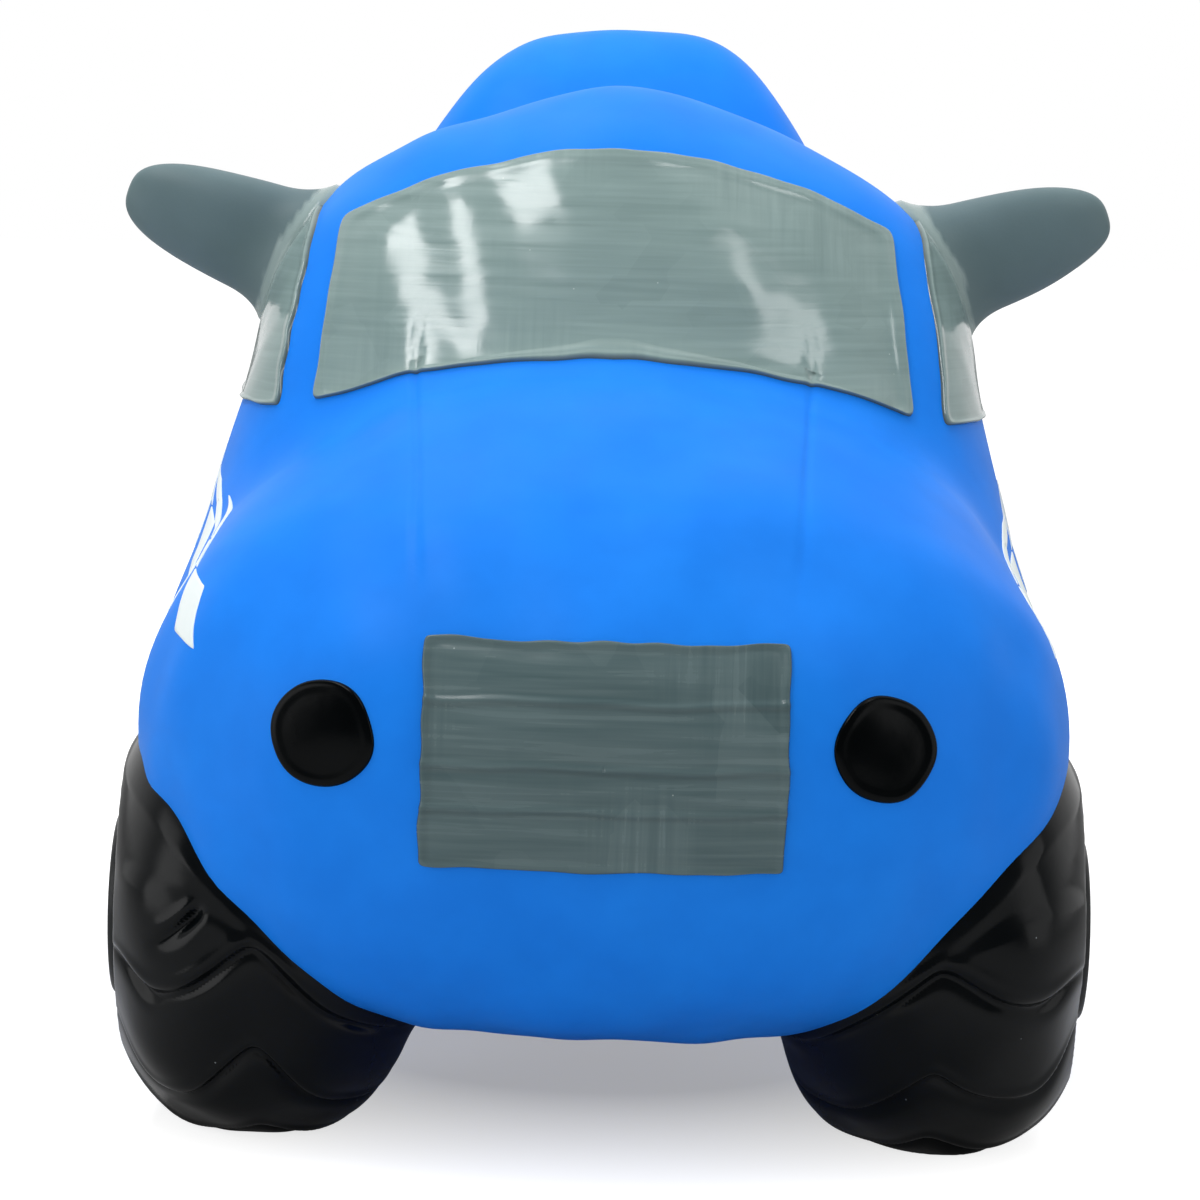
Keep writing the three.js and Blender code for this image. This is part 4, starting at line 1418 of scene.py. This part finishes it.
    def disc(self) -> None:
        """Turns the wheel disc: a dished face with a rim, a domed hub and soft dimples between."""
        flat = self.disc_radius - self.disc_edge
        bend = self.disc_edge * (1.0 - np.sin(np.linspace(0.1, math.pi / 2.0, 10)))
        r = np.concatenate([np.linspace(0.4, flat, 40), self.disc_radius - bend])[:, None]
        turn = full_turn(160)[None, :]
        rim_middle = self.disc_radius - self.rim_width / 2.0
        rim = self.rim_rise * bell(r - rim_middle, 0.45 * self.rim_width)
        hub = self.hub_rise * np.sqrt(np.clip(1.0 - (r / self.hub_radius) ** 2, 0.0, 1.0)) ** 0.7
        between = (self.hub_radius + self.disc_radius - self.rim_width) / 2.0
        scallops = np.clip(np.cos(self.dimples * turn), 0.0, 1.0) ** 1.5
        dimple = self.dimple_depth * bell(r - between, self.dimple_width) * scallops
        edge = np.sqrt(np.clip(1.0 - ((r - flat) / self.disc_edge).clip(0.0) ** 2, 0.0, 1.0))
        height = (self.disc_thickness + rim + hub - dimple) * edge
        foot = self.out * self.face
        back = foot - self.out * self.disc_sunk
        ring = [self.middle[1] + r * np.cos(turn), self.middle[2] + r * np.sin(turn)]
        top = np.stack([foot + self.out * height, *ring], axis=-1)
        under = top[::-1].copy()
        under[..., 0] = back
        poles = np.array([[foot + self.out * (self.disc_thickness + self.hub_rise), *self.middle[1:]],
                          [back, *self.middle[1:]]])
        painted_edge = self.disc_radius - self.rim_width
        hand_waver = 0.35 * np.sin(7.0 * turn)
        black = soft_step(r + hand_waver, painted_edge - 0.6, painted_edge)
        shares = {"rim_paint": np.concatenate([black, black[::-1]])}
        piece = make_mesh(f"{self.name}_disc_relief", np.concatenate([top, under]), shares, poles)
        dress_piece(piece, WHEEL_ENAMEL, [f"{self.name}_wheel_disc"])

    def build(self) -> None:
        """Makes the tyre and its disc."""
        self.tyre()
        self.disc()


@dataclass
class Handle:
    """A hollow paddle that flows out of the cab; the real handle bends at its root."""

    form: BodyForm
    side: Side
    depth: float = 238.0
    height: float = 275.0
    length: float = 59.0
    rise: float = 19.0
    root_width: float = 41.0
    tip_width: float = 34.0
    root_thickness: float = 29.0
    tip_thickness: float = 23.0
    end_squareness: float = 2.8
    section_squareness: float = 2.15
    buried: float = 18.0
    sunk: float = 0.3
    fillet: float = 14.0
    flare: float = 6.0
    paint_reach: float = 3.5
    paint_fade: float = 0.8
    paint_waver: Pair = (16.0, 1.0)
    lumps: Pair = (42.0, 0.45)
    bend_start: float = -1.0
    bend_end: float = 15.0
    rings: int = 90
    sides: int = 96

    def build(self) -> None:
        """Sweeps the paddle and fillets it to the cab, leaving it on no body."""
        out, form = self.side.value, self.form
        rise = math.radians(self.rise)
        along = np.array([out * math.cos(rise), 0.0, math.sin(rise)])
        upward = np.array([-out * math.sin(rise), 0.0, math.cos(rise)])
        rearward = np.array([0.0, 1.0, 0.0])
        root_y = np.array([form.nose_y + self.depth])
        root = form.seen_from(self.side.view, root_y, np.array([self.height]))[0]
        share = np.sin(np.linspace(0.0, 1.0, self.rings, endpoint=False) * math.pi / 2.0)
        outward = -self.buried + (self.length + self.buried) * share
        free = np.maximum(outward, 0.0)
        grown = free / self.length
        tip = rounded_end(self.length - free, self.length, self.end_squareness)
        width = (self.root_width + (self.tip_width - self.root_width) * grown) / 2.0 * tip
        thick = (self.root_thickness + (self.tip_thickness - self.root_thickness) * grown) / 2.0 * tip
        level, upright = squared_circle(full_turn(self.sides)[None, :], 2.0 / self.section_squareness)
        spoke = (upright * width[:, None])[..., None] * upward
        spoke = spoke + (level * thick[:, None])[..., None] * rearward
        reach = np.linalg.norm(spoke, axis=-1)
        ray = spoke / np.maximum(reach, TINY)[..., None]
        middle = (root + along * outward[:, None])[:, None, :]

        def place(grow: Array) -> Array:
            """Points that far outside the paddle's own section."""
            return middle + ray * (reach + grow)[..., None]

        def joined(grow: Array) -> Array:
            """Whether such a point is still inside the fillet to the cab."""
            return filleted_union(grow, form.distance(place(grow)) + self.sunk, self.fillet) < 0.0

        none = np.zeros(reach.shape)
        points = place(last_inside(joined, none, none + self.flare))
        points = points + ray * Ripple(*self.lumps, 80 + out).at(points)[..., None]
        from_skin = form.distance(points) + Ripple(*self.paint_waver, 84 + out).at(points)
        paint = soft_drop(from_skin, self.paint_reach, self.paint_reach + self.paint_fade)
        poles = np.array([root - along * self.buried, root + along * self.length])
        piece = make_mesh(f"{self.side.word}_handle_paddle", points, {"root_paint": paint}, poles)
        nodes = [f"{self.side.word}_handle_root", f"{self.side.word}_handle"]
        dress_piece(piece, HANDLE_VINYL, nodes, None)
        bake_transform(piece)


@dataclass
class AirValve:
    """The white valve seat in the tail and the plug pushed into it."""

    form: BodyForm
    flange_radius: float = 15.0
    flange: float = 1.6
    flange_bevel: float = 1.0
    sleeve_radius: float = 9.0
    bore_radius: float = 5.5
    sleeve_length: float = 13.0
    sleeve_floor: float = 1.0
    gap: float = 0.3
    head_radius: float = 11.0
    head: float = 2.4
    head_bevel: float = 1.2
    stem_length: float = 15.0
    tip_radius: float = 4.2
    edge_softness: float = 0.35
    tab_width: float = 9.0
    tab: float = 2.6
    tab_height: float = 4.0
    tab_round: float = 2.2
    tab_squareness: float = 0.55
    sides: int = 96

    def turned(self, name: str, profile: list[Pair], foot: float) -> Thing:
        """Turns a profile about the valve's axis.

        Args:
            name: The piece's name.
            profile: Radius and distance behind the foot, from the axis round to the axis again.
            foot: Where the profile's zero lies along Y.

        Returns:
            The turned object, with its edges rounded.
        """
        drawn = drawn_line(profile, 14)
        mirrored = (drawn * [-1.0, 1.0])[::-1][1:-1]
        outline = soft_outline(np.concatenate([drawn, mirrored]), 320, self.edge_softness, 0.0, 1)
        outline = outline[outline[:, 0] > 0.05]
        turn = full_turn(self.sides)[None, :]
        r, back = outline[:, :1], outline[:, 1:] + 0.0 * turn
        rings = np.stack([r * np.cos(turn), foot + back, self.form.tail_height + r * np.sin(turn)], axis=-1)
        return make_mesh(name, rings)

    def build(self) -> None:
        """Makes the seat and the plug."""
        seat_end = float(node_box("valve_seat")[1][1])
        floor = self.sleeve_floor - self.sleeve_length
        seat = self.turned("valve_collar", [
            (0.0, -self.sleeve_length), (self.sleeve_radius, -self.sleeve_length), (self.sleeve_radius, 0.0),
            (self.flange_radius, 0.0), (self.flange_radius, 0.5 * self.flange),
            (self.flange_radius - self.flange_bevel, self.flange), (self.bore_radius, self.flange),
            (self.bore_radius, floor), (0.0, floor),
        ], seat_end - self.flange)
        dress_piece(seat, VALVE_VINYL, ["valve_seat"])
        plug_foot = seat_end + self.gap
        stem = self.bore_radius - self.gap
        plug = self.turned("valve_stopper", [
            (0.0, -0.7 * self.stem_length), (self.tip_radius, -0.7 * self.stem_length),
            (stem, -0.5 * self.stem_length), (stem, 0.0), (self.head_radius, 0.0),
            (self.head_radius, 0.5 * self.head), (self.head_radius - self.head_bevel, self.head),
            (0.0, self.head),
        ], plug_foot)
        plug = join_pieces([plug, self.pull_tab(plug_foot + self.head)], "valve_stopper")
        dress_piece(plug, VALVE_VINYL, ["valve_plug"], "valve_plug")

    def pull_tab(self, foot: float) -> Thing:
        """Makes the plug's finger tab: a rounded tongue standing out of its head.

        Args:
            foot: Where the head ends along Y.

        Returns:
            The tab's object.
        """
        turn = full_turn(64)[None, :]
        out = np.linspace(-1.0, self.tab_height, 16)[:, None]
        closing = rounded_end(self.tab_height - out, self.tab_round, self.tab_round) * 0.999 + 0.001
        level, upright = squared_circle(turn, self.tab_squareness)
        x = level * (self.tab_width / 2.0 - 1.0 + closing)
        z = self.form.tail_height + upright * self.tab / 2.0 * closing
        return make_mesh("pull_tab", np.stack([x, foot + out + 0.0 * turn, z], axis=-1))


@dataclass(frozen=True)
class SoftBox:
    """A rectangular lamp: its place and size in metres, its power in watts and its roll in degrees."""

    name: str
    place: Place
    size: Pair
    power: float
    roll: float = 0.0
    mirrored: bool = True

    def hang(self, target: Place) -> None:
        """Hangs the lamp and points it at a target.

        Args:
            target: What it points at, in metres.
        """
        data = bpy.data.lights.new(self.name, "AREA")
        data.shape = "RECTANGLE"
        data.size, data.size_y = self.size
        data.energy = self.power
        lamp = stand(self.name, data)
        lamp.location = self.place
        lamp.rotation_mode = "QUATERNION"
        aim = (Vector(target) - Vector(self.place)).to_track_quat("-Z", "Y")
        lamp.rotation_quaternion = aim @ Quaternion((0.0, 0.0, 1.0), math.radians(self.roll))
        lamp.visible_glossy = self.mirrored


@dataclass
class Studio:
    """A white studio: pale floor, two overhead soft boxes, bounced light and the photographer's camera."""

    camera_place: Place = (-2.5, -1466.0, 320.0)
    camera_pitch: float = 6.5
    camera_roll: float = 1.6
    focal_length: float = 124.9
    sensor: float = 36.0
    sight: float = 60.0
    floor_radius: float = 9.0
    floor_glow: Pair = (0.35, 0.92)
    painted_shadow_reach: Pair = (0.174, 0.194)
    painted_shadow_edge: Pair = (0.55, 1.25)
    floor_edge: Pair = (0.35, 1.0)
    ambient: float = 0.32
    mirrored_wall: Pair = (0.12, 1.0)
    wall_turn: Pair = (-0.15, 0.35)
    heart: Place = (0.0, -0.05, 0.2)
    boxes: tuple[SoftBox, ...] = (
        SoftBox("left_soft_box", (0.74, -0.55, 1.5), (0.24, 0.7), 2.6),
        SoftBox("right_soft_box", (-0.56, -0.42, 1.55), (0.2, 1.0), 7.0, 60.0),
        SoftBox("right_bounce", (-1.7, -0.7, 0.6), (0.8, 1.2), 6.0),
        SoftBox("left_bounce", (1.7, -0.7, 0.6), (0.8, 1.2), 3.5),
        SoftBox("top_bounce", (0.0, 0.5, 1.7), (1.4, 0.8), 16.5, mirrored=False),
        SoftBox("front_bounce", (-0.5, -2.6, 0.8), (2.4, 1.0), 11.5, mirrored=False),
    )

    def camera(self) -> None:
        """Places the camera at the photograph's angle."""
        data = bpy.data.cameras.new("photographer")
        data.lens = self.focal_length
        data.sensor_width = self.sensor
        data.clip_end = self.sight
        camera = stand("photographer", data)
        turn = Matrix.Rotation(math.radians(90.0 - self.camera_pitch), 4, "X")
        roll = Matrix.Rotation(math.radians(self.camera_roll), 4, "Z")
        camera.matrix_world = Matrix.Translation([v * MM for v in self.camera_place]) @ turn @ roll
        bpy.context.scene.camera = camera

    def floor(self) -> None:
        """Lays a round pale floor with a painted shadow: its glow is dimmer in an ellipse under the toy, on
        top of the real shadow, and turns white further away.
        """
        rim = [(self.floor_radius * math.cos(a), self.floor_radius * math.sin(a), 0.0) for a in full_turn(96)]
        mesh = bpy.data.meshes.new("studio_floor")
        mesh.from_pydata(rim, [], [tuple(range(len(rim)))])
        material = bpy.data.materials.new("pale_studio_floor")
        material.use_nodes = True
        kit = NodeKit(material.node_tree)
        kit.tree.nodes.remove(kit.tree.nodes["Principled BSDF"])
        place = kit.coordinates["Object"]
        # Painted shadow: the glow is lower inside an ellipse round the toy's middle, whatever the lamps do.
        reach = {0: place, 1: (*self.painted_shadow_reach, 1.0)}
        shares = kit.add("VectorMath", reach, operation="DIVIDE").outputs["Vector"]
        near = kit.spread(kit.measure(shares), *self.floor_glow, *self.painted_shadow_edge)
        glow = kit.spread(kit.measure(place), near, 1.0, *self.floor_edge)
        shade = kit.add("BsdfDiffuse", {"Color": "#bcbcbc"}).outputs[0]
        light = kit.add("Emission", {"Color": "#ffffff", "Strength": glow}).outputs[0]
        shown = kit.add("AddShader", {0: shade, 1: light}).outputs[0]
        lit = kit.add("BsdfDiffuse", {"Color": "#cccccc"}).outputs[0]
        in_view = kit.add("LightPath").outputs["Is Camera Ray"]
        pick = kit.add("MixShader", {0: in_view, 1: lit, 2: shown}).outputs[0]
        kit.feed(kit.tree.nodes["Material Output"], {"Surface": pick})
        mesh.materials.append(material)
        floor = stand("studio_floor", mesh)

    def world(self) -> None:
        """Makes a white backdrop for the camera and even, plain light for the toy."""
        world = bpy.data.worlds.new("white_studio")
        bpy.context.scene.world = world
        world.use_nodes = True
        kit = NodeKit(world.node_tree)
        path = kit.add("LightPath").outputs
        back = kit.add("SeparateXYZ", {0: kit.coordinates["Generated"]}).outputs["Y"]
        wall = kit.spread(back, *self.mirrored_wall, *self.wall_turn)
        bent = {0: path["Is Glossy Ray"], 1: path["Is Transmission Ray"]}
        mirrored = kit.add("Math", bent, operation="MAXIMUM").outputs[0]
        even = kit.blend(mirrored, self.ambient, wall)
        strength = kit.blend(path["Is Camera Ray"], even, 1.0)
        kit.feed(kit.tree.nodes["Background"], {"Color": "#ffffff", "Strength": strength})

    def build(self) -> None:
        """Sets up the whole studio."""
        bpy.context.scene.view_settings.view_transform = "Standard"
        self.camera()
        self.floor()
        self.world()
        for box in self.boxes:
            box.hang(self.heart)


def main() -> None:
    """Builds the studio and the toy's pieces in order."""
    logging.basicConfig(level=logging.INFO, format="%(name)s %(message)s")
    Studio().build()
    form = BodyForm()
    BodySkin(form).build()
    Glazing(form).build()
    Face(form).build()
    # In the photo the left transfer is stuck on further back, and the left tyres' chevrons run flatter.
    band_front = {Side.LEFT: 82.0, Side.RIGHT: 52.0}
    arm_drop = {Side.LEFT: 14.0, Side.RIGHT: 23.0}
    for side in Side:
        CheckerBand(form, side, band_front[side]).build()
        Handle(form, side).build()
    for end, seed in (("front", 100), ("rear", 120)):
        for side in Side:
            Wheel(form, end, side, seed + 5 * side.value, arm_drop[side]).build()
    AirValve(form).build()


if __name__ == "__main__":
    main()
